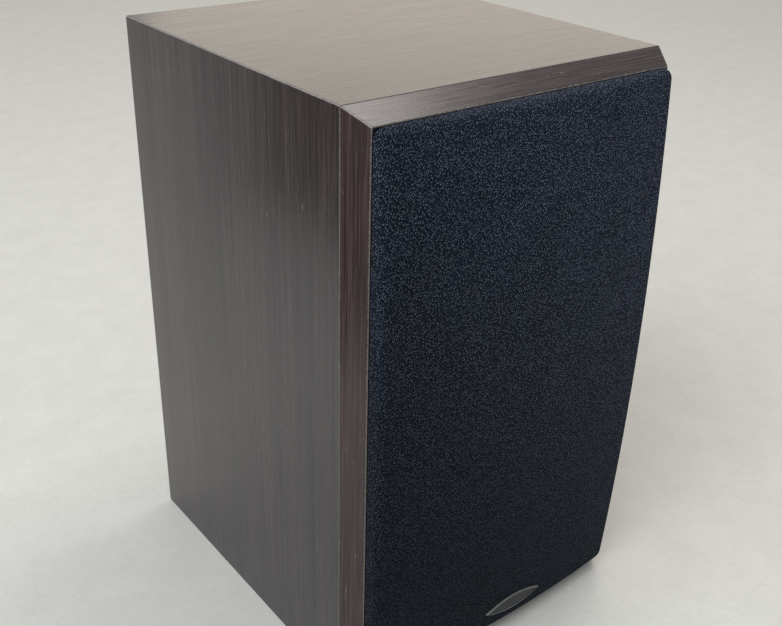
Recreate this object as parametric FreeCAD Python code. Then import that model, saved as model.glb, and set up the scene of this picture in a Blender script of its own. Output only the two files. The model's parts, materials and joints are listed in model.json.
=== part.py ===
import FreeCAD, Part
import math
import os
from FreeCAD import Vector

# Two-way bookshelf loudspeaker, in millimetres.
# X runs to the right seen from the front, Y from the front towards the back, Z up.
# While it is designed, Y is 0 on the baffle's front face. save() moves every piece by SHIFT_Y,
# so that the exported origin is the middle of the whole speaker, on the surface it stands on.

# Driving dimensions
WIDTH = 165.0
HEIGHT = 271.0
DEPTH = 178.0            # baffle front face to the rear edge of the walls
WALL = 12.0              # fibreboard walls, mitred at the four long edges
BEVEL_IN = 5.8           # how far the front bevel runs in from the outer walls
BEVEL_BACK = 10.5        # and how far back from the baffle's front face
BAFFLE = 18.0            # baffle thickness, its rear part rabbeted between the walls
REAR_RECESS = 2.6        # rear panel's face, in from the walls' rear edge
EDGE_EASE = 0.5          # radius of the outer edges
SEAM_EASE = 0.2          # and of the edges that meet at the baffle's seam

GRILLE_RISE = 12.7       # crown of the grille in front of the baffle
GRILLE_BOW_X = 4.1       # fall of the crowned face from its middle to its side edges
GRILLE_BOW_Z = 4.5       # and to its top and bottom edges
GRILLE_INSET = 0.2       # grille outline, in from the edge of the bevel
GRILLE_GAP = 0.3         # between the grille and the baffle
CLOTH = 0.8
HEM = 6.0                # width of the cloth's edge folded behind the frame
PEG_X = 64.0
PEG_UP = 20.0            # pegs, in from the cabinet's bottom and top
WINDOW_R = 63.5          # round ends of the grille frame's opening
BADGE_X = 6.5
BADGE_Z = 17.0
BADGE_LONG = 35.0        # a pointed oval between two arcs
BADGE_HIGH = 8.6
BADGE_THICK = 1.4

WOOFER_Z = 86.0
TWEETER_Z = 203.0
PORT_Z = 203.0
CUP_Z = 74.0
POST_SPACING = 19.05     # the standard pitch of twin banana plugs
HANGER_Z = 247.0

SHIFT_Y = (GRILLE_RISE - DEPTH) / 2.0
MID_Z = HEIGHT / 2.0
REAR_FACE = DEPTH - REAR_RECESS
REAR_INNER = REAR_FACE - WALL
INNER_X = WIDTH / 2.0 - WALL
CORNERS = [(sx, sz) for sx in (-1, 1) for sz in (-1, 1)]


# ---------------------------------------------------------------- helpers

def save(name, *solids):
    """Writes one or more separate solids as the node's STEP file."""
    moved = []
    for solid in solids:
        copy = solid.copy()
        copy.translate(Vector(0, SHIFT_Y, 0))
        moved.append(copy)
    shape = moved[0] if len(moved) == 1 else Part.makeCompound(moved)
    count = len(shape.Solids)
    if count != len(solids) or not shape.isValid():
        raise ValueError(f"{name}: {count} solids, valid {shape.isValid()}")
    shape.exportStep(f"parts/{name}.step")
    print(f"{name}: {count} solid(s), {shape.Volume / 1000.0:.2f} cm3")


def block(x0, x1, y0, y1, z0, z1):
    return Part.makeBox(x1 - x0, y1 - y0, z1 - z0, Vector(x0, y0, z0))


def rod(x, z, radius, y0, y1):
    """A cylinder along Y."""
    return Part.makeCylinder(radius, y1 - y0, Vector(x, y0, z), Vector(0, 1, 0))


def ring(x, z, inner, outer, y0, y1):
    return rod(x, z, outer, y0, y1).cut(rod(x, z, inner, y0, y1))


def line(a, b):
    return Part.LineSegment(a, b).toShape()


def arc(a, mid, b):
    return Part.Arc(a, mid, b).toShape()


def turned(x, z, edges, angle=360.0, start=0.0):
    """Turns a closed outline of edges, drawn as radius and Y, about the Y axis through x, z."""
    face = Part.Face(Part.Wire(edges))
    solid = face.revolve(Vector(0, 0, 0), Vector(0, 1, 0), angle)
    solid.rotate(Vector(0, 0, 0), Vector(0, 1, 0), start)
    solid.translate(Vector(x, 0, z))
    return solid


def outline(points):
    """Straight edges joining (radius, y) points in a closed loop."""
    corners = [Vector(r, y, 0) for r, y in points]
    return [line(a, b) for a, b in zip(corners, corners[1:] + corners[:1])]


def rounded_plate(width, height, radius, y0, y1, x=0.0, z=0.0):
    """A plate square to Y with its four corners rounded."""
    plate = block(x - width / 2, x + width / 2, y0, y1, z - height / 2, z + height / 2)
    along = [e for e in plate.Edges if abs(e.tangentAt(e.FirstParameter).y) > 0.9]
    return plate.makeFillet(radius, along)


def slot_plate(width, z_low, z_high, y0, y1):
    """A plate with half-round ends centred at z_low and z_high."""
    radius = width / 2.0
    body = block(-radius, radius, y0, y1, z_low, z_high)
    return body.fuse([rod(0, z_low, radius, y0, y1), rod(0, z_high, radius, y0, y1)])


def extruded(points, y0, y1):
    """A prism along Y from (x, z) corners."""
    corners = [Vector(x, y0, z) for x, z in points]
    wire = Part.makePolygon(corners + corners[:1])
    return Part.Face(wire).extrude(Vector(0, y1 - y0, 0))


def at_angles(radius, count, first):
    """(x, z) points spread evenly round a circle, the first at an angle in degrees."""
    turns = [math.radians(first + 360.0 * i / count) for i in range(count)]
    return [(radius * math.cos(a), radius * math.sin(a)) for a in turns]


def screw(x, z, seat, way, head_r, head_h, shank_r, length):
    """A countersunk cross-head screw. seat is the face its head is flush with, and way is
    1 where the shank points to +Y and -1 where it points to -Y."""
    cone = Part.makeCone(head_r, shank_r, head_h, Vector(x, seat, z), Vector(0, way, 0))
    shank = Part.makeCylinder(
        shank_r, length - head_h, Vector(x, seat + way * head_h, z), Vector(0, way, 0)
    )
    arm, width, sunk = head_r * 0.62, head_r * 0.16, head_h * 0.6
    y0, y1 = sorted((seat, seat + way * sunk))
    cross = block(x - arm, x + arm, y0, y1, z - width, z + width)
    cross = cross.fuse(block(x - width, x + width, y0, y1, z - arm, z + arm))
    return cone.fuse(shank).removeSplitter().cut(cross)


def screw_hole(x, z, seat, way, head_r, head_h, shank_r, length):
    """The hole that the same screw fills."""
    cone = Part.makeCone(head_r, shank_r, head_h, Vector(x, seat, z), Vector(0, way, 0))
    shank = Part.makeCylinder(shank_r, length, Vector(x, seat, z), Vector(0, way, 0))
    return cone.fuse(shank)


def cable(points, radius, name):
    """A round wire along straight runs joined by tangent arcs, as large as the runs allow."""
    corners = [Vector(*p) for p in points]
    edges, radii, cursor = [], [], corners[0]
    for before, corner, after in zip(corners, corners[1:], corners[2:]):
        incoming, outgoing = corner - before, after - corner
        run = min(incoming.Length, outgoing.Length)
        half_turn = incoming.getAngle(outgoing) / 2.0
        back = 0.45 * run
        radii.append(back / math.tan(half_turn))
        into, away = incoming.normalize(), outgoing.normalize()
        enter, leave = corner - into * back, corner + away * back
        bisector = (away - into).normalize()
        sagitta = radii[-1] * (1.0 / math.cos(half_turn) - 1.0)
        edges += [line(cursor, enter), arc(enter, corner + bisector * sagitta, leave)]
        cursor = leave
    edges.append(line(cursor, corners[-1]))
    path = Part.Wire(edges)
    section = Part.Wire(Part.makeCircle(radius, corners[0], corners[1] - corners[0]))
    solid = Part.Solid(path.makePipeShell([section], True, False))
    share = solid.Volume / (math.pi * radius**2 * path.Length)
    rounded = ", ".join(f"{r:.1f}" for r in radii)
    print(f"  {name}: {path.Length:.0f} mm, bend radii {rounded}, volume share {share:.3f}")
    return solid


# ---------------------------------------------------------------- cabinet

WOOFER_SCREWS = [(x, WOOFER_Z + z) for x, z in at_angles(61.6, 4, 45)]
WOOFER_SCREW = dict(way=1, head_r=3.4, head_h=1.9, shank_r=1.9, length=15.0)
TWEETER_SCREWS = [(x, TWEETER_Z + z) for x, z in at_angles(37.0, 4, 45)]
TWEETER_SCREW = dict(way=1, head_r=2.9, head_h=1.6, shank_r=1.6, length=13.0)
CUP_SCREW = dict(seat=DEPTH, way=-1, head_r=2.9, head_h=1.6, shank_r=1.6, length=12.0)
CUP_SCREWS = [(sx * 38.5, CUP_Z + sz * 28.5) for sx, sz in CORNERS]
HANGER_SCREWS = [(-20.0, HANGER_Z), (20.0, HANGER_Z)]
HANGER_SCREW = dict(seat=REAR_FACE, way=-1, head_r=2.9, head_h=1.2, shank_r=1.6, length=9.0)
PEGS = [(sx * PEG_X, MID_Z + sz * (MID_Z - PEG_UP)) for sx, sz in CORNERS]
SOCKET = dict(radius=5.0, depth=9.6, rim_radius=6.2, rim=0.6)

WOOFER_REBATE = dict(radius=66.0, depth=4.2)
WOOFER_HOLE_R = 57.5
TWEETER_REBATE = dict(radius=42.4, depth=4.0)
TWEETER_HOLE_R = 29.0


def cabinet_walls():
    """Four walls with mitred long edges, cut from one block whose outer edges are eased."""
    x_out, x_in = WIDTH / 2.0, INNER_X
    z_top, z_in_top = HEIGHT, HEIGHT - WALL
    y0, y1 = BEVEL_BACK, DEPTH
    outside = block(-x_out, x_out, y0, y1, 0, z_top)
    long_edges = [e for e in outside.Edges if abs(e.tangentAt(e.FirstParameter).y) > 0.9]
    outside = outside.makeFillet(EDGE_EASE, long_edges)
    rims = [e for e in outside.Edges if e.BoundBox.YLength < 0.01]
    outside = outside.makeFillet(SEAM_EASE, rims)
    top = [(-x_out, z_top), (x_out, z_top), (x_in, z_in_top), (-x_in, z_in_top)]
    bottom = [(x, HEIGHT - z) for x, z in top]
    right = [(x_out, z_top), (x_out, 0), (x_in, WALL), (x_in, z_in_top)]
    left = [(-x, z) for x, z in right]
    save("top_panel", extruded(top, y0, y1).common(outside))
    save("bottom_panel", extruded(bottom, y0, y1).common(outside))
    save("right_side_panel", extruded(right, y0, y1).common(outside))
    save("left_side_panel", extruded(left, y0, y1).common(outside))


def rectangle(inset, y):
    x, z0, z1 = WIDTH / 2.0 - inset, inset, HEIGHT - inset
    corners = [Vector(-x, y, z0), Vector(x, y, z0), Vector(x, y, z1), Vector(-x, y, z1)]
    return Part.makePolygon(corners + corners[:1])


def front_baffle():
    """A bevelled board with a rabbeted back, cut for the drivers and the grille sockets."""
    face = Part.makeLoft([rectangle(BEVEL_IN, 0.0), rectangle(0.0, BEVEL_BACK)], True, True)
    slanted = [e for e in face.Edges if e.BoundBox.YLength > 1.0]
    rim = [e for e in face.Edges if e.BoundBox.YMax < 0.01]
    face = face.makeFillet(EDGE_EASE, slanted + rim)
    back = [e for e in face.Edges if e.BoundBox.YMin > BEVEL_BACK - 0.01]
    face = face.makeFillet(SEAM_EASE, back)
    plug = block(-INNER_X, INNER_X, BEVEL_BACK, BAFFLE, WALL, HEIGHT - WALL)
    board = face.fuse(plug).removeSplitter()
    cuts = [
        rod(0, WOOFER_Z, WOOFER_REBATE["radius"], 0, WOOFER_REBATE["depth"]),
        rod(0, WOOFER_Z, WOOFER_HOLE_R, 0, BAFFLE),
        rod(0, TWEETER_Z, TWEETER_REBATE["radius"], 0, TWEETER_REBATE["depth"]),
        rod(0, TWEETER_Z, TWEETER_HOLE_R, 0, BAFFLE),
    ]
    cuts += [rod(x, z, WOOFER_SCREW["shank_r"], 0, 15.0) for x, z in WOOFER_SCREWS]
    cuts += [rod(x, z, TWEETER_SCREW["shank_r"], 0, 13.0) for x, z in TWEETER_SCREWS]
    for x, z in PEGS:
        cuts.append(rod(x, z, SOCKET["radius"], 0, SOCKET["depth"]))
        cuts.append(rod(x, z, SOCKET["rim_radius"], 0, SOCKET["rim"]))
    save("front_baffle", board.cut(cuts))


def rear_panel():
    board = block(-INNER_X, INNER_X, REAR_INNER, REAR_FACE, WALL, HEIGHT - WALL)
    cuts = [
        rod(0, PORT_Z, PORT_SEAT_R, REAR_INNER, REAR_FACE),
        rounded_plate(72.4, 52.4, 6.0, REAR_INNER, REAR_FACE, 0, CUP_Z),
        hanger_blank(REAR_FACE - HANGER_THICK, REAR_FACE),
        rod(0, HANGER_Z - 2.0, 5.2, REAR_FACE - 9.0, REAR_FACE),
        block(-5.2, 5.2, REAR_FACE - 9.0, REAR_FACE, HANGER_Z - 2.0, HANGER_Z + 5.0),
    ]
    cuts += [screw_hole(x, z, **CUP_SCREW) for x, z in CUP_SCREWS]
    cuts += [screw_hole(x, z, **HANGER_SCREW) for x, z in HANGER_SCREWS]
    save("rear_panel", board.cut(cuts))


def damping_wool():
    """Polyester wool against the inside of each side wall."""
    middles = [sx * (INNER_X - 9.1) for sx in (-1, 1)]
    save("damping_wool", *[rounded_plate(18.0, 160.0, 6.0, 80.0, 138.0, x, 132.0) for x in middles])


# ---------------------------------------------------------------- grille

def crowned_block(inset, sunk, corner_r, edge_r):
    """The grille's outer form: a rounded outline with a face crowned both ways. inset moves its
    outline in, and sunk moves its face back."""
    half_x = WIDTH / 2.0 - BEVEL_IN - GRILLE_INSET - inset
    half_z = MID_Z - BEVEL_IN - GRILLE_INSET - inset
    across = (WIDTH / 2.0 - BEVEL_IN) ** 2 / (2.0 * GRILLE_BOW_X)
    along = (MID_Z - BEVEL_IN) ** 2 / (2.0 * GRILLE_BOW_Z)
    crown = -(GRILLE_RISE - sunk)
    reach, back = 90.0, 20.0
    edge_y = crown + across - math.sqrt(across**2 - reach**2)
    a, b = Vector(-reach, edge_y, MID_Z), Vector(reach, edge_y, MID_Z)
    c, d = Vector(reach, back, MID_Z), Vector(-reach, back, MID_Z)
    edges = [arc(a, Vector(0, crown, MID_Z), b), line(b, c), line(c, d), line(d, a)]
    face = Part.Face(Part.Wire(edges))
    pivot, swing = Vector(0, crown + along, MID_Z), 6.0
    face.rotate(pivot, Vector(1, 0, 0), -swing)
    lens = face.revolve(pivot, Vector(1, 0, 0), 2.0 * swing)
    plate = rounded_plate(2 * half_x, 2 * half_z, corner_r, -20.0, -GRILLE_GAP, 0, MID_Z)
    body = plate.common(lens)
    front = [e for e in body.Edges if e.BoundBox.YMax < -GRILLE_GAP - 1.0]
    rim = [e for e in front if abs(e.tangentAt(e.FirstParameter).y) < 0.9]
    return body.makeFillet(edge_r, rim)


def grille():
    outer = crowned_block(0.0, 0.0, 4.0, 3.0)
    inner = crowned_block(CLOTH, CLOTH, 3.2, 2.2)
    window = slot_plate(2 * WINDOW_R, WOOFER_Z, TWEETER_Z - 15.0, -20.0, 0.0)
    badge = badge_plate()
    hem = hem_ring(outer)
    save("grille_cloth", outer.cut(inner).cut(badge).fuse(hem).removeSplitter())
    frame = inner.cut(window).cut(hem).cut([rod(x, z, 2.0, -3.0, 0.0) for x, z in PEGS])
    save("grille_frame", frame)
    save("grille_badge", badge)
    pegs = []
    for x, z in PEGS:
        stem = rod(x, z, 2.0, -3.0, -GRILLE_GAP).fuse(rod(x, z, 2.9, -GRILLE_GAP, 5.0))
        tip = Part.makeCone(2.9, 1.9, 2.4, Vector(x, 5.0, z), Vector(0, 1, 0))
        pegs.append(stem.fuse(tip).removeSplitter())
    save("grille_pegs", *pegs)


def hem_ring(outer):
    """The cloth's edge, folded behind the frame."""
    half_x = WIDTH / 2.0 - BEVEL_IN - GRILLE_INSET - HEM
    half_z = MID_Z - BEVEL_IN - GRILLE_INSET - HEM
    slab = block(-WIDTH, WIDTH, -GRILLE_GAP - CLOTH, 0.0, 0.0, HEIGHT)
    middle = rounded_plate(2 * half_x, 2 * half_z, 3.0, -GRILLE_GAP - CLOTH, 0.0, 0, MID_Z)
    return outer.common(slab).cut(middle)


def badge_plate():
    """A plain pointed oval plate, set through the cloth on the lower border of the frame."""
    left, right = Vector(-BADGE_LONG / 2.0, 0, 0), Vector(BADGE_LONG / 2.0, 0, 0)
    over, under = Vector(0, BADGE_HIGH / 2.0, 0), Vector(0, -BADGE_HIGH / 2.0, 0)
    sides = [arc(left, over, right), arc(right, under, left)]
    plate = Part.Face(Part.Wire(sides)).extrude(Vector(0, 0, BADGE_THICK))
    plate.rotate(Vector(0, 0, 0), Vector(1, 0, 0), 90)
    lean = math.degrees(2.0 * GRILLE_BOW_Z * (BADGE_Z - MID_Z) / (MID_Z - BEVEL_IN) ** 2)
    plate.rotate(Vector(0, 0, 0), Vector(1, 0, 0), -lean)
    depth = GRILLE_RISE - GRILLE_BOW_Z * ((BADGE_Z - MID_Z) / (MID_Z - BEVEL_IN)) ** 2
    plate.translate(Vector(BADGE_X, -depth + CLOTH, BADGE_Z))
    return plate


def grille_sockets():
    """Rubber cups in the baffle that grip the pegs."""
    cups = []
    for x, z in PEGS:
        cup = rod(x, z, SOCKET["radius"], 0, SOCKET["depth"])
        cup = cup.fuse(rod(x, z, SOCKET["rim_radius"], 0, SOCKET["rim"])).removeSplitter()
        cups.append(cup.cut(rod(x, z, 3.0, 0, SOCKET["depth"] - 1.2)))
    save("grille_peg_sockets", *cups)


# ---------------------------------------------------------------- woofer

CONE_EDGE = (41.2, 2.0)
CONE_NECK = (13.05, 21.5)
CONE_THICK = 0.8
GAP_FRONT, GAP_BACK = 34.5, 39.5
TAB_HALF = 2.4           # half the width of the drivers' solder tabs
MAGNET_BACK = 54.5


def cone_front_y(radius):
    (r0, y0), (r1, y1) = CONE_EDGE, CONE_NECK
    return y0 + (r0 - radius) * (y1 - y0) / (r0 - r1)


def woofer_frame():
    profile = [
        (65.5, 2.0), (54.5, 2.0), (55.6, 4.0), (50.7, 19.3), (40.5, 24.8), (36.0, 24.8),
        (34.8, 33.3), (20.0, 33.3), (20.0, 34.5), (36.0, 34.5), (37.2, 26.0), (41.0, 26.0),
        (52.0, 20.2), (57.0, 3.2), (65.5, 3.2),
    ]
    basket = turned(0, WOOFER_Z, outline(profile))
    sector = outline([(40.0, 7.0), (62.0, 7.0), (62.0, 19.4), (40.0, 19.4)])
    windows = [turned(0, WOOFER_Z, sector, 56.0, -28.0 + 90.0 * i) for i in range(4)]
    holes = [rod(x, z, WOOFER_SCREW["shank_r"], 0.0, 5.0) for x, z in WOOFER_SCREWS]
    save("woofer_basket", basket.cut(windows + holes))
    gasket = ring(0, WOOFER_Z, 57.6, 65.5, 3.2, 4.2)
    save("woofer_gasket", gasket.cut(holes))
    trim_profile = [
        (65.5, 0.4), (65.1, 0.0), (56.4, 0.0), (56.0, 0.4),
        (56.0, 1.2), (60.0, 1.2), (60.0, 2.0), (65.5, 2.0),
    ]
    trim = turned(0, WOOFER_Z, outline(trim_profile))
    sinks = [screw_hole(x, z, seat=0.0, **WOOFER_SCREW) for x, z in WOOFER_SCREWS]
    save("woofer_trim_ring", trim.cut(sinks))
    save("woofer_screws", *[screw(x, z, seat=0.0, **WOOFER_SCREW) for x, z in WOOFER_SCREWS])


def half_roll(x, z, r_in, r_out, base_y, thick, rim_in, rim_out):
    """A half-round suspension roll that bulges forward, with a flat rim each side."""
    middle, radius = (r_in + r_out) / 2.0, (r_out - r_in) / 2.0
    big, small = radius + thick / 2.0, radius - thick / 2.0
    y0, y1 = base_y - thick / 2.0, base_y + thick / 2.0
    crown = arc(
        Vector(middle - big, y0, 0), Vector(middle, y0 - big, 0), Vector(middle + big, y0, 0)
    )
    hollow = arc(
        Vector(middle + small, y1, 0),
        Vector(middle, y1 - small - thick, 0),
        Vector(middle - small, y1, 0),
    )
    inner, outer = r_in - rim_in, r_out + rim_out
    points = [
        (middle + big, y0), (outer, y0), (outer, y1), (middle + small, y1),
    ]
    back = [(middle - small, y1), (inner, y1), (inner, y0), (middle - big, y0)]
    edges = [crown]
    for group, follow in ((points, hollow), (back, None)):
        corners = [Vector(r, y, 0) for r, y in group]
        edges += [line(a, b) for a, b in zip(corners, corners[1:])]
        if follow:
            edges.append(follow)
    return turned(x, z, edges)


def woofer_diaphragm():
    save("woofer_surround", half_roll(0, WOOFER_Z, 44.4, 54.2, 1.6, 0.8, 2.8, 4.6))
    (r0, y0), (r1, y1) = CONE_EDGE, CONE_NECK
    front = [(44.6, y0), (r0, y0), (r1, y1)]
    cone = front + [(r, y + CONE_THICK) for r, y in reversed(front)]
    save("woofer_cone", turned(0, WOOFER_Z, outline(cone)))
    rim_r, rise, thick = 19.0, 7.0, 0.6
    edge_y = cone_front_y(rim_r + thick) - 0.05
    outer_top, inner_top = edge_y - rise - thick, edge_y - rise
    sphere = (rim_r**2 + rise**2) / (2.0 * rise)
    part_r = rim_r * 0.5
    fall = sphere - math.sqrt(sphere**2 - part_r**2)
    cap = [
        line(Vector(0, inner_top, 0), Vector(0, outer_top, 0)),
        arc(Vector(0, outer_top, 0), Vector(part_r, outer_top + fall, 0), Vector(rim_r + thick, edge_y, 0)),
        line(Vector(rim_r + thick, edge_y, 0), Vector(rim_r, edge_y, 0)),
        arc(Vector(rim_r, edge_y, 0), Vector(part_r, inner_top + fall, 0), Vector(0, inner_top, 0)),
    ]
    save("woofer_dust_cap", turned(0, WOOFER_Z, cap))
    save("woofer_coil_former", ring(0, WOOFER_Z, 12.75, 13.05, 20.0, 43.0))
    save("woofer_voice_coil", ring(0, WOOFER_Z, 13.05, 13.55, 32.0, 42.0))


def woofer_spider():
    """A corrugated cloth disc that centres the coil."""
    mean, swing, thick, waves = 24.55, 1.0, 0.5, 5
    r_in, r_out = 13.05, 35.5
    pitch = (r_out - r_in) / (2 * waves + 1)
    path = [(40.4, mean), (r_out, mean)]
    for i in range(1, 2 * waves + 1):
        side = swing if i % 2 else -swing
        path.append((r_out - pitch * i, mean + side))
    path.append((r_in, mean))
    front = [(r, y - thick / 2.0) for r, y in path]
    back = [(r, y + thick / 2.0) for r, y in reversed(path)]
    save("woofer_spider", turned(0, WOOFER_Z, outline(front + back)))


def woofer_motor():
    save("woofer_top_plate", ring(0, WOOFER_Z, 14.0, 36.0, GAP_FRONT, GAP_BACK))
    magnet = ring(0, WOOFER_Z, 16.5, 40.0, GAP_BACK, MAGNET_BACK)
    save("woofer_magnet", magnet.makeFillet(1.2, outer_rims(magnet, 40.0)))
    yoke = rod(0, WOOFER_Z, 37.0, MAGNET_BACK, MAGNET_BACK + 5.0)
    yoke = yoke.makeFillet(1.5, [e for e in outer_rims(yoke, 37.0) if e.BoundBox.YMin > MAGNET_BACK + 1])
    pole = rod(0, WOOFER_Z, 12.2, GAP_FRONT, MAGNET_BACK)
    vent = rod(0, WOOFER_Z, 4.0, GAP_FRONT, MAGNET_BACK + 5.0)
    save("woofer_pole_yoke", yoke.fuse(pole).removeSplitter().cut(vent))


def outer_rims(solid, radius):
    """The circular edges of a turned solid that have this radius."""
    found = []
    for edge in solid.Edges:
        curve = edge.Curve
        if isinstance(curve, Part.Circle) and abs(curve.Radius - radius) < 1e-6:
            found.append(edge)
    return found


def woofer_terminals():
    board = block(-50.0, -37.6, 26.0, 27.6, WOOFER_Z - 9.0, WOOFER_Z + 9.0)
    levels = [WOOFER_Z + s * 5.0 for s in (-1, 1)]
    tabs = [block(-47.0, -46.2, 27.6, 36.0, z - TAB_HALF, z + TAB_HALF) for z in levels]
    save("woofer_terminals", board, *tabs)
    leads = []
    for s in (-1, 1):
        z = WOOFER_Z + s * 3.0
        route = [
            (-26.0, cone_front_y(26.0) + 2.2, z), (-36.0, 17.5, z), (-46.0, 13.6, z),
            (-53.8, 15.6, z), (-57.2, 21.0, z), (-55.8, 26.8, z), (-50.0, 26.8, z),
        ]
        leads.append(cable(route, 0.6, "tinsel lead"))
    save("woofer_tinsel_leads", *leads)


# ---------------------------------------------------------------- tweeter

DOME_R = 9.6
TW_PLATE = 8.0
TW_GAP = 11.0
TW_MAGNET_BACK = 20.0


def tweeter_body():
    throat = Vector(13.2, 6.4, 0)
    mouth = Vector(30.0, 0.0, 0)
    flare = arc(mouth, Vector(19.4, 1.6, 0), throat)
    below = [
        (13.2, 6.4), (13.2, 7.2), (16.2, 7.2), (16.2, TW_PLATE), (28.5, TW_PLATE),
        (28.5, 3.0), (42.0, 3.0), (42.0, 0.8), (41.2, 0.0), (30.0, 0.0),
    ]
    corners = [Vector(r, y, 0) for r, y in below]
    edges = [flare] + [line(a, b) for a, b in zip(corners, corners[1:])]
    plate = turned(0, TWEETER_Z, edges)
    sinks = [screw_hole(x, z, seat=0.0, **TWEETER_SCREW) for x, z in TWEETER_SCREWS]
    save("tweeter_faceplate", plate.cut(sinks))
    gasket = ring(0, TWEETER_Z, 30.0, 42.0, 3.0, 4.0)
    save("tweeter_gasket", gasket.cut(sinks))
    save("tweeter_screws", *[screw(x, z, seat=0.0, **TWEETER_SCREW) for x, z in TWEETER_SCREWS])
    save("tweeter_surround", half_roll(0, TWEETER_Z, 10.4, 12.6, 7.4, 0.4, 0.6, 3.2))


def tweeter_dome():
    rise, thick, edge_y = 4.4, 0.4, 7.2
    sphere = (DOME_R**2 + rise**2) / (2.0 * rise)
    part_r = DOME_R * 0.5
    fall = sphere - math.sqrt(sphere**2 - part_r**2)
    outer_top, inner_top = edge_y - rise - thick, edge_y - rise
    rim = DOME_R + thick
    cap = [
        line(Vector(0, inner_top, 0), Vector(0, outer_top, 0)),
        arc(Vector(0, outer_top, 0), Vector(part_r, outer_top + fall, 0), Vector(rim, edge_y, 0)),
        line(Vector(rim, edge_y, 0), Vector(DOME_R, edge_y, 0)),
        arc(Vector(DOME_R, edge_y, 0), Vector(part_r, inner_top + fall, 0), Vector(0, inner_top, 0)),
    ]
    save("tweeter_dome", turned(0, TWEETER_Z, cap))
    former = ring(0, TWEETER_Z, DOME_R, DOME_R + 0.2, edge_y, 12.0)
    coil = ring(0, TWEETER_Z, DOME_R + 0.2, DOME_R + 0.45, 8.4, 11.2)
    save("tweeter_voice_coil", former, coil)


def tweeter_motor():
    save("tweeter_top_plate", ring(0, TWEETER_Z, 10.5, 27.0, TW_PLATE, TW_GAP))
    save("tweeter_magnet", ring(0, TWEETER_Z, 13.0, 27.5, TW_GAP, TW_MAGNET_BACK))
    yoke = rod(0, TWEETER_Z, 25.0, TW_MAGNET_BACK, TW_MAGNET_BACK + 3.0)
    yoke = yoke.fuse(rod(0, TWEETER_Z, 9.1, TW_PLATE, TW_MAGNET_BACK)).removeSplitter()
    save("tweeter_pole_yoke", yoke)
    back = TW_MAGNET_BACK + 3.0
    board = block(-11.0, 11.0, back, back + 1.5, TWEETER_Z - 4.5, TWEETER_Z + 4.5)
    tabs = []
    for x in (-7.0, 7.0):
        z0, z1 = TWEETER_Z - TAB_HALF, TWEETER_Z + TAB_HALF
        tabs.append(block(x - 0.4, x + 0.4, back + 1.5, back + 8.5, z0, z1))
    save("tweeter_terminals", board, *tabs)


# ---------------------------------------------------------------- back of the cabinet

PORT_R = 19.0
PORT_SEAT_R = 27.0
PORT_FLANGE_R = 33.0
PORT_LENGTH = 100.0
HANGER_THICK = 1.2


def port_tube():
    """A moulded reflex port, flared at its mouth and, less so, at its inner end."""
    wall, mouth = 2.0, REAR_FACE + 2.0
    inner_end = REAR_FACE - PORT_LENGTH
    flare_start, flare_r = mouth - 13.0, 27.5
    rim, tube_in = Vector(PORT_R + 3.0, inner_end, 0), Vector(PORT_R, inner_end + 6.0, 0)
    tube_out, lip = Vector(PORT_R, flare_start, 0), Vector(flare_r, mouth, 0)
    edges = [
        arc(rim, Vector(PORT_R + 0.9, inner_end + 1.6, 0), tube_in),
        line(tube_in, tube_out),
        arc(tube_out, Vector(PORT_R + 2.3, mouth - 4.3, 0), lip),
    ]
    tail = [
        (flare_r, mouth), (PORT_FLANGE_R - 0.8, mouth), (PORT_FLANGE_R, mouth - 0.8),
        (PORT_FLANGE_R, REAR_FACE), (PORT_SEAT_R, REAR_FACE), (PORT_SEAT_R, REAR_FACE - 3.0),
        (PORT_R + wall, flare_start - 3.0), (PORT_R + wall, inner_end + 6.0),
        (PORT_R + 4.2, inner_end), (PORT_R + 3.0, inner_end),
    ]
    corners = [Vector(r, y, 0) for r, y in tail]
    edges += [line(a, b) for a, b in zip(corners, corners[1:])]
    save("port_tube", turned(0, PORT_Z, edges))


CUP_FLOOR = REAR_FACE - 25.4     # inside face of the cup's floor
CUP_SHELL = 2.4
GASKET = 0.6


def terminal_cup():
    flange = rounded_plate(86.0, 66.0, 5.0, REAR_FACE + GASKET, DEPTH, 0, CUP_Z)
    body = rounded_plate(72.0, 52.0, 6.0, CUP_FLOOR - CUP_SHELL, REAR_FACE + GASKET, 0, CUP_Z)
    well = rounded_plate(66.0, 46.0, 5.0, CUP_FLOOR, DEPTH, 0, CUP_Z)
    lip = [e for e in flange.Edges if e.BoundBox.YMin > DEPTH - 0.01]
    shell = flange.makeChamfer(0.6, lip).fuse(body).removeSplitter().cut(well)
    posts = [rod(x, CUP_Z, POST_R, CUP_FLOOR - CUP_SHELL, CUP_FLOOR) for x in POST_X]
    sinks = [screw_hole(x, z, **CUP_SCREW) for x, z in CUP_SCREWS]
    save("terminal_cup", shell.cut(posts + sinks))
    gasket = rounded_plate(86.0, 66.0, 5.0, REAR_FACE, REAR_FACE + GASKET, 0, CUP_Z)
    gasket = gasket.cut(rounded_plate(72.0, 52.0, 6.0, REAR_FACE, REAR_FACE + GASKET, 0, CUP_Z))
    save("terminal_cup_gasket", gasket.cut(sinks))
    screws = [screw(x, z, **CUP_SCREW) for x, z in CUP_SCREWS]
    screws += [screw(x, z, **HANGER_SCREW) for x, z in HANGER_SCREWS]
    save("rear_screws", *screws)


POST_R = 3.0
POST_X = (-POST_SPACING / 2.0, POST_SPACING / 2.0)
POST_TIP = CUP_FLOOR + 19.4
COLLAR_TOP = CUP_FLOOR + 3.0
SHOULDER_TOP = COLLAR_TOP + 0.8
BANANA_R = 2.0
BANANA_DEEP = 11.5
WASHER = 1.0
KNOB_R = 7.0
KNOB_FRONT = SHOULDER_TOP + 0.1 + WASHER + 0.1
KNOB_LONG = 14.2


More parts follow.
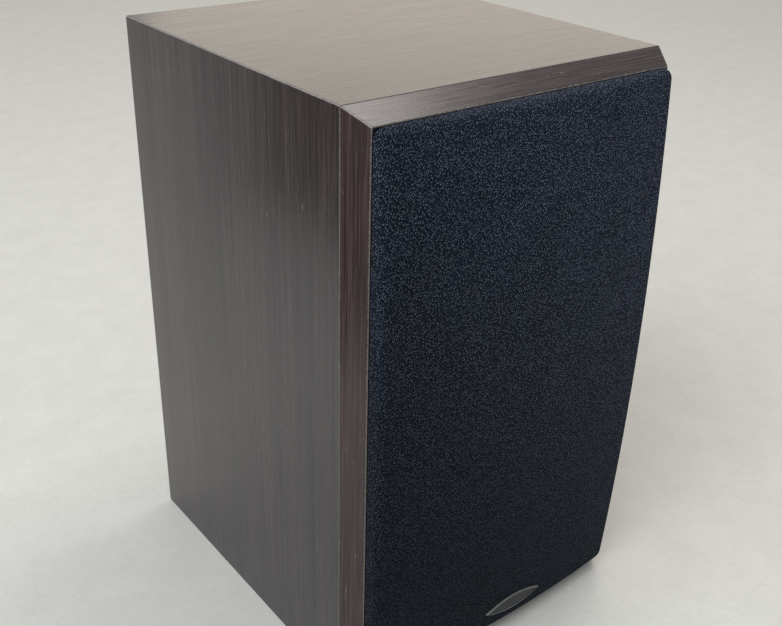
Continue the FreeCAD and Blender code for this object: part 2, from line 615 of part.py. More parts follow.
def binding_post(colour, x):
    """A threaded stud with a banana socket, its insulating collar, clamp washer and knob."""
    stud = rod(x, CUP_Z, POST_R, CUP_FLOOR - 12.0, POST_TIP)
    stud = stud.fuse(rod(x, CUP_Z, 5.4, COLLAR_TOP, SHOULDER_TOP)).removeSplitter()
    socket = rod(x, CUP_Z, BANANA_R, POST_TIP - BANANA_DEEP, POST_TIP)
    wire_hole = Part.makeCylinder(1.2, 2 * POST_R, Vector(x, SHOULDER_TOP + 1.6, CUP_Z - POST_R))
    save(f"{colour}_post_stud", stud.cut([socket, wire_hole]))
    save(f"{colour}_post_collar", ring(x, CUP_Z, POST_R, 7.2, CUP_FLOOR, COLLAR_TOP))
    washer_y = SHOULDER_TOP + 0.1
    save(f"{colour}_post_washer", ring(x, CUP_Z, POST_R + 0.05, 6.0, washer_y, washer_y + WASHER))
    knob = rod(x, CUP_Z, KNOB_R, KNOB_FRONT, KNOB_FRONT + KNOB_LONG)
    knob = knob.makeFillet(0.8, outer_rims(knob, KNOB_R))
    flutes = [
        rod(x + dx, CUP_Z + dz, 0.9, KNOB_FRONT + 2.5, KNOB_FRONT + KNOB_LONG)
        for dx, dz in at_angles(KNOB_R + 0.3, 18, 0)
    ]
    bore = rod(x, CUP_Z, POST_R + 0.05, KNOB_FRONT, KNOB_FRONT + KNOB_LONG)
    save(f"{colour}_post_knob", knob.cut(flutes).cut(bore))


def hexagon_nut(x, z, across, y0, y1, bore):
    radius = across / math.sqrt(3.0)
    corners = [(x + dx, z + dz) for dx, dz in at_angles(radius, 6, 0)]
    return extruded(corners, y0, y1).cut(rod(x, z, bore, y0, y1))


def post_nuts():
    back = CUP_FLOOR - CUP_SHELL
    save("post_nuts", *[hexagon_nut(x, CUP_Z, 10.0, back - 4.0, back, POST_R) for x in POST_X])


def hanger_blank(y0, y1):
    return rounded_plate(54.0, 18.0, 4.0, y0, y1, 0, HANGER_Z)


def keyhole_plate():
    """A pressed steel hanger let into the rear panel, for a screw head on a wall."""
    y0, y1 = REAR_FACE - HANGER_THICK, REAR_FACE
    hole = rod(0, HANGER_Z - 2.0, 4.6, y0, y1)
    neck = block(-2.3, 2.3, y0, y1, HANGER_Z - 2.0, HANGER_Z + 4.4)
    tip = rod(0, HANGER_Z + 4.4, 2.3, y0, y1)
    sinks = [screw_hole(x, z, **HANGER_SCREW) for x, z in HANGER_SCREWS]
    save("keyhole_plate", hanger_blank(y0, y1).cut([hole, neck, tip] + sinks))


# ---------------------------------------------------------------- crossover and wiring

BOARD_Z = WALL + 8.0
BOARD_TOP = BOARD_Z + 1.6
BOARD = dict(x0=-38.0, x1=38.0, y0=72.0, y1=132.0)


def upright(x, y, z0, z1, radius):
    return Part.makeCylinder(radius, z1 - z0, Vector(x, y, z0))


def lying(x, y, radius, length):
    """A cylinder lying on the board along X."""
    return Part.makeCylinder(
        radius, length, Vector(x - length / 2, y, BOARD_TOP + radius), Vector(1, 0, 0)
    )


def crossover():
    feet = [(sx * 34.0, y) for sx in (-1, 1) for y in (BOARD["y0"] + 4.0, BOARD["y1"] - 4.0)]
    board = block(BOARD["x0"], BOARD["x1"], BOARD["y0"], BOARD["y1"], BOARD_Z, BOARD_TOP)
    save("crossover_board", board.cut([upright(x, y, BOARD_Z, BOARD_TOP, 1.6) for x, y in feet]))
    spacers = []
    for x, y in feet:
        spacer = upright(x, y, WALL, BOARD_Z, 3.2).fuse(upright(x, y, BOARD_Z, BOARD_TOP, 1.6))
        spacers.append(spacer.fuse(upright(x, y, BOARD_TOP, BOARD_TOP + 1.4, 3.0)).removeSplitter())
    save("crossover_spacers", *spacers)
    coils, bobbins = [], []
    for x, y, core, radius, tall in ((-17.0, 90.0, 6.0, 14.0, 18.0), (17.0, 88.0, 4.5, 10.5, 14.0)):
        top = BOARD_TOP + tall
        bobbin = upright(x, y, BOARD_TOP, top, core)
        for z in (BOARD_TOP, top - 1.2):
            bobbin = bobbin.fuse(upright(x, y, z, z + 1.2, radius + 0.6))
        bobbins.append(bobbin.removeSplitter())
        winding = upright(x, y, BOARD_TOP + 1.2, top - 1.2, radius)
        coils.append(winding.cut(upright(x, y, BOARD_TOP, top, core)))
    save("crossover_bobbins", *bobbins)
    save("crossover_coils", *coils)
    cans = [lying(16.0, 112.0, 6.5, 28.0), lying(-21.0, 120.0, 4.5, 18.0)]
    rims = [[e for e in can.Edges if e.BoundBox.XLength < 0.01] for can in cans]
    save("crossover_capacitors", *[can.makeFillet(1.0, rim) for can, rim in zip(cans, rims)])
    save("crossover_resistor", block(-30.0, -8.0, 107.0, 114.5, BOARD_TOP, BOARD_TOP + 8.0))


def wiring():
    """Insulated pairs from the posts to the crossover, and from there to the two drivers."""
    wire_r, end = 1.2, BOARD_TOP
    tail = CUP_FLOOR - 12.0
    pairs = {"input_wires": [], "woofer_wires": [], "tweeter_wires": []}
    for s in (-1, 1):
        x = s * POST_SPACING / 2.0
        pairs["input_wires"].append([
            (x, tail, CUP_Z), (x, tail - 7.0, CUP_Z), (x, tail - 12.0, CUP_Z - 4.5),
            (x, tail - 14.5, CUP_Z - 14.0), (x, tail - 16.0, CUP_Z - 27.0),
            (x, tail - 15.0, CUP_Z - 40.0), (x, tail - 15.0, end),
        ])
        pairs["woofer_wires"].append([
            (-36.0, 90.0 + s * 3.0, end), (-36.0, 90.0 + s * 3.0, end + 8.0),
            (-38.5, 85.0 + s * 3.0, 42.0), (-44.0, 77.0 + s * 2.0, 54.0 + s * 1.5),
            (-48.5, 67.0 + s, 66.0 + s * 3.0), (-49.6, 55.0, 78.0 + s * 4.5),
            (-46.6, 45.0, WOOFER_Z + s * 5.0), (-46.6, 36.0, WOOFER_Z + s * 5.0),
        ])
        pairs["tweeter_wires"].append([
            (33.0 + s * 1.8, 84.0 + s * 1.8, end), (33.0 + s * 1.8, 84.0 + s * 1.8, end + 9.0),
            (39.0 + s * 1.8, 78.0, 48.0), (47.5 + s * 1.8, 72.0, 72.0),
            (52.0 + s * 1.8, 66.0, 100.0), (50.0 + s * 1.8, 60.0, 130.0),
            (41.0 + s * 2.2, 54.0, 158.0), (28.0 + s * 4.0, 49.0, 182.0),
            (14.0 + s * 6.0, 46.0, 198.0), (s * 7.0, 41.0, TWEETER_Z),
            (s * 7.0, TW_MAGNET_BACK + 11.5, TWEETER_Z),
        ])
    for name, routes in pairs.items():
        save(name, *[cable(route, wire_r, name) for route in routes])


# ---------------------------------------------------------------- build

def main():
    os.makedirs("parts", exist_ok=True)
    cabinet_walls()
    front_baffle()
    rear_panel()
    damping_wool()
    grille()
    grille_sockets()
    woofer_frame()
    woofer_diaphragm()
    woofer_spider()
    woofer_motor()
    woofer_terminals()
    tweeter_body()
    tweeter_dome()
    tweeter_motor()
    port_tube()
    terminal_cup()
    for colour, x in zip(("black", "red"), POST_X):
        binding_post(colour, x)
    post_nuts()
    keyhole_plate()
    crossover()
    wiring()


main()
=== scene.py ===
import json
import math

import bmesh
import bpy
import numpy as np
from mathutils import Matrix, Vector, noise


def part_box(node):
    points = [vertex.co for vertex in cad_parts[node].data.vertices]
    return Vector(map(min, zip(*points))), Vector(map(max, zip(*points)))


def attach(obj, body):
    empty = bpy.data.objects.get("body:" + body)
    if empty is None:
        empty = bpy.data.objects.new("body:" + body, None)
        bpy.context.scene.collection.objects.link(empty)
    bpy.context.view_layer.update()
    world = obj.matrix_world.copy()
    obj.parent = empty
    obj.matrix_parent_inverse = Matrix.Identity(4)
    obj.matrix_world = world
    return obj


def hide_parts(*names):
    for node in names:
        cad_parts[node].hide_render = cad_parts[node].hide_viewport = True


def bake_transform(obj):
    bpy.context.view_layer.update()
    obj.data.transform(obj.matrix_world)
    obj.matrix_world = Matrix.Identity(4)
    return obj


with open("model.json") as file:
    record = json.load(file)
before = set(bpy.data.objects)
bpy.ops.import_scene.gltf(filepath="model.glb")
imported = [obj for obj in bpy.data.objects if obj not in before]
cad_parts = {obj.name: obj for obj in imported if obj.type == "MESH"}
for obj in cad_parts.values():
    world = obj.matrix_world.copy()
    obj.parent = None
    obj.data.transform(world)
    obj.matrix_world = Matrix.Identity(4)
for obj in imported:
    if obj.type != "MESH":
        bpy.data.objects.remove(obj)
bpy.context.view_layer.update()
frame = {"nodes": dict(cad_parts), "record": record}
nodes = frame["nodes"]
MM = 0.001

# The cabinet, from the frame. Depths below are given in mm behind the baffle's front face.
LEFT_WALL, RIGHT_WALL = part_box("left_side_panel"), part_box("right_side_panel")
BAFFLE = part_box("front_baffle")
HALF_WIDTH, HEIGHT = RIGHT_WALL[1].x, RIGHT_WALL[1].z
MID_Z = HEIGHT / 2.0
FRONT_Y = BAFFLE[0].y
SEAM_Y = LEFT_WALL[0].y
BEVEL_IN = 5.8 * MM                             # how far the bevel runs in from the walls
SEAM_DEPTH = SEAM_Y - FRONT_Y
WALL = HALF_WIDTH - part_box("rear_panel")[1].x   # how thick the panels are
REAR_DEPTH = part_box("rear_panel")[1].y - FRONT_Y


def centre_of(node):
    low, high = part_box(node)
    return (low + high) / 2.0


WOOFER, TWEETER = centre_of("woofer_magnet"), centre_of("tweeter_magnet")
POSTS = {colour: centre_of(f"{colour}_post_stud") for colour in ("black", "red")}


def at(x, y, z):
    """A point from millimetres, with y measured back from the baffle's front face."""
    return Vector((x * MM, FRONT_Y + y * MM, z * MM))


# ---------------------------------------------------------------- camera, light and floor

def look_matrix(azimuth, elevation, roll, place):
    """A camera's matrix from its view direction in degrees: azimuth 0 looks along +Y."""
    a, e, r = (math.radians(v) for v in (azimuth, elevation, roll))
    back = Vector((math.sin(a) * math.cos(e), -math.cos(a) * math.cos(e), math.sin(e)))
    right = Vector((math.cos(a), math.sin(a), 0.0))
    up = back.cross(right)
    side = right * math.cos(r) + up * math.sin(r)
    top = up * math.cos(r) - right * math.sin(r)
    turn = Matrix((side, top, back)).transposed().to_4x4()
    return Matrix.Translation(place) @ turn


def make_camera():
    """The camera in front of the cabinet's left, looking down at it."""
    azimuth, elevation, roll = -38.24, 27.66, 1.61
    data = bpy.data.cameras.new("camera")
    data.sensor_width = 36.0
    data.lens = 47.4
    data.clip_start = 0.01
    camera = bpy.data.objects.new("camera", data)
    camera.matrix_world = look_matrix(azimuth, elevation, roll, at(-276.9, -267.2, 370.3))
    bpy.context.scene.collection.objects.link(camera)
    bpy.context.scene.camera = camera


def softbox(name, place, size, radiance, colour):
    """A rectangular light, in metres, aimed at the cabinet; its power follows from its radiance."""
    target = Vector((0.0, 0.0, 0.2))
    data = bpy.data.lights.new(name, "AREA")
    data.shape = "RECTANGLE"
    data.size, data.size_y = size
    data.energy = radiance * math.pi * size[0] * size[1]
    data.color = colour
    light = bpy.data.objects.new(name, data)
    light.location = place
    light.rotation_euler = (target - Vector(place)).to_track_quat("-Z", "Y").to_euler()
    bpy.context.scene.collection.objects.link(light)


def make_lights():
    """A small warm key overhead, a broad cool fill on the left, and a warm glow from behind."""
    bpy.context.scene.view_settings.view_transform = "Standard"
    world = bpy.data.worlds.new("studio")
    world.use_nodes = True
    background = world.node_tree.nodes["Background"]
    background.inputs["Color"].default_value = (0.975, 0.985, 1.0, 1.0)
    background.inputs["Strength"].default_value = 0.405
    bpy.context.scene.world = world
    softbox("key", (0.50, 0.04, 1.34), (0.46, 0.46), 6.2, (1.0, 0.955, 0.91))
    softbox("left_fill", (-1.6, -0.35, 1.45), (1.7, 1.7), 3.2, (0.89, 0.96, 1.0))
    softbox("far_wall", (1.95, 2.28, 1.13), (2.0, 1.1), 1.10, (1.0, 0.865, 0.70))


def staged_card(name, corners, material):
    """A flat four-sided thing round the object that isn't part of it."""
    mesh = bpy.data.meshes.new(name)
    mesh.from_pydata(corners, [], [(0, 1, 2, 3)])
    mesh.materials.append(material)
    card = bpy.data.objects.new(name, mesh)
    bpy.context.scene.collection.objects.link(card)
    return card


def make_floor():
    """A wide sheet of warm, faintly mottled paper, just under the cabinet."""
    paint = Paint("floor_paper", roughness=0.85)
    place = paint.place()
    broad = paint.noise(place, 38.0, 4.0, 0.65)
    fine = paint.noise(place, 330.0, 3.0, 0.7)
    mottle = paint.weighted((broad, 0.5), (fine, 0.5))
    colour = paint.ramp(mottle, [(0.36, (0.790, 0.768, 0.716)), (0.64, (0.872, 0.848, 0.795))])
    paint.link(colour, "Base Color")
    paint.bump(paint.noise(place, 90.0, 3.0, 0.6), 0.15, 1.0 * MM)
    reach = 12.0
    corners = [(-reach, -reach, 0), (reach, -reach, 0), (reach, reach, 0), (-reach, reach, 0)]
    floor = staged_card("floor", corners, paint.material)
    floor.location.z = -0.2 * MM


def make_flag():
    """A grey card left of the cabinet that only reflections see, as a studio flag shades a gloss."""
    paint = Paint("flag_felt", roughness=0.95)
    shading = paint.noise(paint.place(), 400.0, 2.0, 0.6)
    greys = [(0.3, (0.125, 0.122, 0.122)), (0.7, (0.165, 0.162, 0.162))]
    paint.link(paint.ramp(shading, greys), "Base Color")
    x, front, back, low, tall = -0.35, -0.12, 0.46, 0.02, 0.30
    corners = [(x, front, low), (x, back, low), (x, back, tall), (x, front, tall)]
    flag = staged_card("flag", corners, paint.material)
    flag.visible_camera = False
    flag.visible_diffuse = False
    flag.visible_shadow = False


# ---------------------------------------------------------------- material building

# The Mix node keeps two inputs and one output for each type of data, by their numbers.
MIX_SOCKETS = {"RGBA": (6, 7, 2), "VECTOR": (4, 5, 1)}


class Paint:
    """A procedural material being put together: each method adds nodes and returns a socket."""

    def __init__(self, name, roughness=0.5, metallic=0.0, **fixed):
        self.material = bpy.data.materials.new(name)
        self.material.use_nodes = True
        self.tree = self.material.node_tree
        self.shader = self.tree.nodes["Principled BSDF"]
        self.shader.inputs["Roughness"].default_value = roughness
        self.shader.inputs["Metallic"].default_value = metallic
        for socket, value in fixed.items():
            self.shader.inputs[socket.replace("_", " ")].default_value = value
        self.coordinates = None

    def add(self, kind, **settings):
        """A new shader node of this kind."""
        made = self.tree.nodes.new("ShaderNode" + kind)
        for key, value in settings.items():
            setattr(made, key, value)
        return made

    def feed(self, socket, value):
        """Joins a socket to a value: another socket, a number, or a colour."""
        if isinstance(value, bpy.types.NodeSocket):
            self.tree.links.new(value, socket)
        elif isinstance(value, tuple) and len(value) == 3 and socket.type == "RGBA":
            socket.default_value = (*value, 1.0)
        else:
            socket.default_value = value

    def link(self, value, name):
        """Joins a value to one of the material's own inputs."""
        self.feed(self.shader.inputs[name], value)

    def source(self, output="Object"):
        """The position on the object in metres, or its Normal."""
        if self.coordinates is None:
            self.coordinates = self.add("TexCoord")
        return self.coordinates.outputs[output]

    def place(self, scale=(1.0, 1.0, 1.0), vector=None, turn=(0.0, 0.0, 0.0)):
        """The position on the object, or another vector, stretched by scale and turned."""
        mapping = self.add("Mapping")
        self.feed(mapping.inputs["Vector"], vector or self.source())
        mapping.inputs["Rotation"].default_value = turn
        mapping.inputs["Scale"].default_value = scale
        return mapping.outputs["Vector"]

    def axes(self, output="Object"):
        """The X, Y and Z of the position on the object, or of its Normal."""
        split = self.add("SeparateXYZ")
        self.feed(split.inputs[0], self.source(output))
        return split.outputs["X"], split.outputs["Y"], split.outputs["Z"]

    def noise(self, vector, scale, detail, rough):
        """Noise from 0 to 1, with its scale per metre of the vector."""
        made = self.add("TexNoise")
        self.feed(made.inputs["Vector"], vector)
        made.inputs["Scale"].default_value = scale
        made.inputs["Detail"].default_value = detail
        made.inputs["Roughness"].default_value = rough
        return made.outputs["Fac"]

    def cells(self, vector, randomness=1.0):
        """Flat cells over X and Y: the distance to a cell's middle, and a number for the cell."""
        made = self.add("TexVoronoi", voronoi_dimensions="2D")
        self.feed(made.inputs["Vector"], vector)
        made.inputs["Scale"].default_value = 1.0
        made.inputs["Randomness"].default_value = randomness
        split = self.add("SeparateColor")
        self.feed(split.inputs[0], made.outputs["Color"])
        return made.outputs["Distance"], split.outputs[0]

    def math(self, operation, a, b=0.0, c=0.0):
        """One operation on one, two or three values."""
        made = self.add("Math", operation=operation)
        for socket, value in zip(made.inputs, (a, b, c)):
            self.feed(socket, value)
        return made.outputs[0]

    def near(self, a, b, reach):
        """1 where a is less than reach from b, and 0 elsewhere."""
        away = self.math("ABSOLUTE", self.math("SUBTRACT", a, b))
        return self.math("LESS_THAN", away, reach)

    def weighted(self, *pairs):
        """The sum of each value times its weight."""
        total = self.math("MULTIPLY", *pairs[0])
        for value, weight in pairs[1:]:
            total = self.math("MULTIPLY_ADD", value, weight, total)
        return total

    def span(self, value, low, high, out_low=0.0, out_high=1.0):
        """Maps low..high smoothly to out_low..out_high, clamped."""
        made = self.add("MapRange", interpolation_type="SMOOTHSTEP")
        names = ("Value", "From Min", "From Max", "To Min", "To Max")
        for name, number in zip(names, (value, low, high, out_low, out_high)):
            self.feed(made.inputs[name], number)
        return made.outputs["Result"]

    def ramp(self, value, stops):
        """The colour at a value, between stops of (position, colour)."""
        made = self.add("ValToRGB")
        self.feed(made.inputs["Fac"], value)
        elements = made.color_ramp.elements
        while len(elements) < len(stops):
            elements.new(0.5)
        for element, (position, colour) in zip(elements, stops):
            element.position = position
            element.color = (*colour, 1.0)
        return made.outputs["Color"]

    def mix(self, share, a, b, data_type="RGBA"):
        """From a, where share is 0, to b, where it is 1."""
        first, second, output = MIX_SOCKETS[data_type]
        made = self.add("Mix", data_type=data_type)
        for number, value in ((0, share), (first, a), (second, b)):
            self.feed(made.inputs[number], value)
        return made.outputs[output]

    def bump(self, height, strength, distance):
        """Relief from a height of 0 to 1, which stands for this distance."""
        made = self.add("Bump")
        self.feed(made.inputs["Height"], height)
        made.inputs["Strength"].default_value = strength
        made.inputs["Distance"].default_value = distance
        self.link(made.outputs["Normal"], "Normal")


def scaled(colour, factor):
    return tuple(channel * factor for channel in colour)


# ---------------------------------------------------------------- wood vinyl

DARK_GRAIN = (0.013, 0.0060, 0.0067)
MID_GRAIN = (0.030, 0.0165, 0.0172)
PALE_GRAIN = (0.058, 0.0365, 0.0355)
WORN = (0.34, 0.31, 0.28)
# Painted highlight: near white, for the glint on edges that face up into the light.
PAINTED_EDGE_GLINT = (0.78, 0.75, 0.69)
FIBREBOARD = (0.36, 0.25, 0.15)
SATIN_BLACK = (0.011, 0.011, 0.012)
# A painted reflection: tints the walls' reflections cool, for the bluish light round the cabinet.
PAINTED_COOL_REFLECTION = (0.80, 0.94, 1.0, 1.0)


def grain(paint, along, across, along_x, detail=3.0, rough=0.65):
    """Noise drawn out along Z, or along X where along_x is 1, with a scale for each direction.

    along_x is 0, 1 or a socket.
    """
    if along_x == 1:
        vector = paint.place((along, across, across))
    else:
        vector = paint.place((across, across, along))
    if isinstance(along_x, bpy.types.NodeSocket):
        vector = paint.mix(along_x, vector, paint.place((along, across, across)), "VECTOR")
    return paint.noise(vector, 1.0, detail, rough)


def from_edges(paint):
    """Distances in from the side walls and from the top and bottom, and back from the baffle."""
    x, y, z = paint.axes()
    side = paint.math("SUBTRACT", HALF_WIDTH, paint.math("ABSOLUTE", x))
    up = paint.math("ABSOLUTE", paint.math("SUBTRACT", z, MID_Z))
    return side, paint.math("SUBTRACT", MID_Z, up), paint.math("SUBTRACT", y, FRONT_Y)


def edge_wear_and_glint(paint, colour, seam_colour):
    """Rubs the vinyl along the cabinet's long edges, the baffle's mitres and rim, and its seam; on faces
    that point up, the edge and rim rubs are painted near white as a painted highlight.
    """
    corner_share, seam_share, rim_share = 0.38, 0.42, 0.25
    side, end, behind = from_edges(paint)
    inward = paint.math("MINIMUM", side, end)
    ragged = paint.noise(paint.place(), 700.0, 3.0, 0.7)
    reach = paint.span(ragged, 0.35, 0.75, 0.20 * MM, 0.65 * MM)
    # On faces that point up, the edge and rim rubs are a painted highlight in near white; elsewhere they
    # are worn vinyl.
    facing_up = paint.math("GREATER_THAN", paint.axes("Normal")[2], 0.3)
    wear_and_glint = paint.mix(facing_up, WORN, PAINTED_EDGE_GLINT)
    outside = paint.math("LESS_THAN", inward, 1.0 * MM)
    on_bevel = paint.math("LESS_THAN", behind, SEAM_DEPTH)
    corner = paint.near(side, end, reach)
    corner = paint.math("MULTIPLY", corner, paint.math("MAXIMUM", outside, on_bevel))
    colour = paint.mix(paint.math("MULTIPLY", corner, corner_share), colour, wear_and_glint)
    seam = paint.near(behind, SEAM_DEPTH, paint.math("MULTIPLY", reach, 0.55))
    colour = paint.mix(paint.math("MULTIPLY", seam, seam_share), colour, seam_colour)
    rim = paint.near(inward, BEVEL_IN, paint.math("MULTIPLY", reach, 0.6))
    rim = paint.math("MULTIPLY", rim, paint.math("LESS_THAN", behind, 0.6 * MM))
    return paint.mix(paint.math("MULTIPLY", rim, rim_share), colour, wear_and_glint)


def wood_vinyl(name, along_x=0, is_baffle=False, seam_dark=False):
    """Dark, straight-grained wood vinyl, worn at its edges and flecked in patches, with a painted
    highlight on the edges that face up.

    On the baffle it is a little richer, and its grain runs along each of the four bevels.
    """
    if is_baffle:
        paint = Paint(name, Specular_IOR_Level=0.6)
        up = paint.math("ABSOLUTE", paint.axes("Normal")[2])
        along_x = paint.math("GREATER_THAN", up, 0.4)
        richer = 1.25
    else:
        # The walls' reflections get a painted cool tint, for the bluish light round the cabinet; the
        # baffle's don't.
        paint = Paint(name, Specular_IOR_Level=0.72, Specular_Tint=PAINTED_COOL_REFLECTION)
        richer = 1.0
    fibre = grain(paint, 34.0, 2500.0, along_x)
    band = grain(paint, 9.0, 900.0, along_x, rough=0.6)
    broad = grain(paint, 2.0, 70.0, along_x, detail=2.0, rough=0.5)
    tone = paint.weighted((fibre, 0.42), (band, 0.38), (broad, 0.20))
    grains = [(0.41, DARK_GRAIN), (0.50, MID_GRAIN), (0.61, PALE_GRAIN)]
    colour = paint.ramp(tone, [(stop, scaled(shade, richer)) for stop, shade in grains])
    fleck = grain(paint, 170.0, 1900.0, along_x, detail=1.0, rough=0.4)
    patch = paint.noise(paint.place(), 24.0, 1.0, 0.5)
    fleck = paint.math("MULTIPLY", paint.span(fleck, 0.725, 0.80), paint.span(patch, 0.45, 0.62))
    colour = paint.mix(paint.math("MULTIPLY", fleck, 0.6), colour, WORN)
    colour = edge_wear_and_glint(paint, colour, scaled(DARK_GRAIN, 0.4) if seam_dark else WORN)
    colour = raw_inside(paint, colour, is_baffle)
    paint.link(colour, "Base Color")
    paint.link(paint.span(fibre, 0.3, 0.7, 0.19, 0.29), "Roughness")
    paint.bump(paint.weighted((fibre, 0.6), (band, 0.4)), 0.25, 0.07 * MM)
    return paint.material


def raw_inside(paint, colour, is_baffle):
    """Raw fibreboard where the vinyl doesn't reach, and the baffle's front in satin black."""
    side, end, behind = from_edges(paint)
    inward = paint.math("MINIMUM", side, end)
    if is_baffle:
        inside = paint.math("GREATER_THAN", inward, BEVEL_IN + 0.35 * MM)
        colour = paint.mix(inside, colour, SATIN_BLACK)
        cut = paint.math("MULTIPLY", inside, paint.math("GREATER_THAN", behind, 0.4 * MM))
    else:
        inside = paint.math("GREATER_THAN", inward, WALL - 0.5 * MM)
        cut = paint.math("MULTIPLY", inside, paint.math("LESS_THAN", behind, REAR_DEPTH - 0.5 * MM))
    crumbs = paint.noise(paint.place(), 1500.0, 2.0, 0.7)
    board = paint.ramp(crumbs, [(0.3, scaled(FIBREBOARD, 0.7)), (0.7, scaled(FIBREBOARD, 1.25))])
    return paint.mix(cut, colour, board)


def black_vinyl(name):
    """The matt black, faintly grained vinyl on the rear panel."""
    paint = Paint(name, roughness=0.5)
    fibre = grain(paint, 60.0, 2600.0, 0)
    colour = paint.ramp(fibre, [(0.3, (0.016, 0.0155, 0.016)), (0.7, (0.032, 0.030, 0.031))])
    paint.link(colour, "Base Color")
    paint.link(paint.span(fibre, 0.3, 0.7, 0.42, 0.58), "Roughness")
    paint.bump(fibre, 0.3, 0.06 * MM)
    return paint.material


# ---------------------------------------------------------------- cloth, paper and wool

def unrolled(paint):
    """X and Z on the grille, with its sides and ends folded out level with its face."""
    x, y, z = paint.axes()
    flat = paint.add("CombineXYZ")
    back = paint.math("MULTIPLY", y, 0.8)
    above = paint.math("SIGN", paint.math("SUBTRACT", z, MID_Z))
    for socket, axis, outward in zip(flat.inputs, (x, z), (paint.math("SIGN", x), above)):
        paint.feed(socket, paint.math("MULTIPLY_ADD", back, outward, axis))
    return flat.outputs[0]


def speaker_cloth(name):
    """Blue-black knit: loops in slanted rows, whose crests are painted paler, some more than others, as
    a painted highlight where they catch the light.

    It is painted slowly darker towards the lower left, as painted shade where the light falls off.
    """
    sheen = {"Sheen_Weight": 0.03, "Sheen_Roughness": 0.5, "Sheen_Tint": (0.75, 0.85, 1.0, 1.0)}
    paint = Paint(name, roughness=0.85, Specular_IOR_Level=0.06, **sheen)
    per_metre, slant = 1150.0, math.radians(-32.0)
    rows = paint.place((per_metre, per_metre, 1.0), unrolled(paint), (0.0, 0.0, slant))
    loops, chance = paint.cells(rows, 0.75)
    yarn = paint.noise(paint.place(), 2600.0, 2.0, 0.6)
    cloud = paint.noise(paint.place(), 60.0, 3.0, 0.6)
    # Painted highlight: each loop's crest is painted paler, some loops more than others.
    crest = paint.span(loops, 0.44, 0.05)
    bright = paint.math("MULTIPLY", crest, paint.span(chance, 0.1, 1.0, 0.16, 1.0))
    bright = paint.math("MULTIPLY", bright, paint.span(yarn, 0.35, 0.65, 0.55, 1.0))
    base = paint.ramp(cloud, [(0.35, (0.0050, 0.0086, 0.0180)), (0.65, (0.0078, 0.0122, 0.0240))])
    colour = paint.mix(bright, base, (0.296, 0.336, 0.432))
    x, _, z = paint.axes()
    # Painted shade: the cloth is darkened towards the lower left, where the light falls off.
    shading = paint.span(paint.weighted((x, 0.9), (z, 1.0)), 0.0, 0.32, 0.34, 1.0)
    paint.link(paint.mix(shading, (0.0, 0.0, 0.0), colour), "Base Color")
    paint.bump(paint.weighted((crest, 1.0), (yarn, 0.4)), 0.7, 0.2 * MM)
    return paint.material


def fibrous(name, colour, scale, depth, sheen=0.0):
    """Felted or fibrous stuff: tangled fine noise in its colour and its surface."""
    paint = Paint(name, roughness=0.95, Sheen_Weight=sheen)
    fibres = paint.noise(paint.place(), scale, 4.0, 0.7)
    clumps = paint.noise(paint.place(), scale / 12.0, 2.0, 0.5)
    tone = paint.weighted((fibres, 0.7), (clumps, 0.3))
    paint.link(paint.ramp(tone, [(0.3, scaled(colour, 0.65)), (0.7, scaled(colour, 1.3))]), "Base Color")
    paint.bump(fibres, 0.6, depth)
    return paint.material


def woven(name, colour, pitch, roughness=0.8):
    """A plain weave in the XZ plane: threads over and under each other."""
    paint = Paint(name, roughness=roughness)
    x, _, z = paint.axes()
    waves = []
    for axis in (x, z):
        waves.append(paint.math("SINE", paint.math("MULTIPLY", axis, 2.0 * math.pi / pitch)))
    over = paint.math("MULTIPLY", waves[0], waves[1])
    share = paint.span(over, -1.0, 1.0)
    colours = [(0.0, scaled(colour, 0.6)), (1.0, scaled(colour, 1.25))]
    paint.link(paint.ramp(share, colours), "Base Color")
    paint.bump(share, 0.6, pitch / 4.0)
    return paint.material


def cone_paper(name):
    """Treated pulp: felted fibres, with faint pressed rings about the woofer's axis."""
    paint = Paint(name, roughness=0.62)
    ring_pitch = 2.4 * MM
    fibres = paint.noise(paint.place(), 900.0, 4.0, 0.7)
    x, _, z = paint.axes()
    across = paint.math("POWER", x, 2.0)
    up = paint.math("POWER", paint.math("SUBTRACT", z, WOOFER.z), 2.0)
    radius = paint.math("SQRT", paint.math("ADD", across, up))
    rings = paint.math("SINE", paint.math("MULTIPLY", radius, 2.0 * math.pi / ring_pitch))
    tone = paint.ramp(fibres, [(0.3, (0.016, 0.016, 0.018)), (0.72, (0.048, 0.047, 0.050))])
    paint.link(tone, "Base Color")
    paint.bump(paint.weighted((fibres, 1.0), (rings, 0.12)), 0.5, 0.15 * MM)
    return paint.material


# ---------------------------------------------------------------- plastics, rubber, metals

def moulded(name, colour, roughness, texture=1800.0, depth=0.04 * MM, **fixed):
    """Moulded or painted surfaces: a fine spark-eroded texture and slow changes of gloss."""
    paint = Paint(name, roughness=roughness, **fixed)
    fine = paint.noise(paint.place(), texture, 2.0, 0.6)
    slow = paint.noise(paint.place(), 60.0, 3.0, 0.6)
    tone = paint.weighted((fine, 0.4), (slow, 0.6))
    paint.link(paint.ramp(tone, [(0.3, scaled(colour, 0.8)), (0.7, scaled(colour, 1.2))]), "Base Color")
    paint.link(paint.span(slow, 0.3, 0.7, roughness * 0.85, min(roughness * 1.15, 1.0)), "Roughness")
    paint.bump(fine, 0.4, depth)
    return paint.material


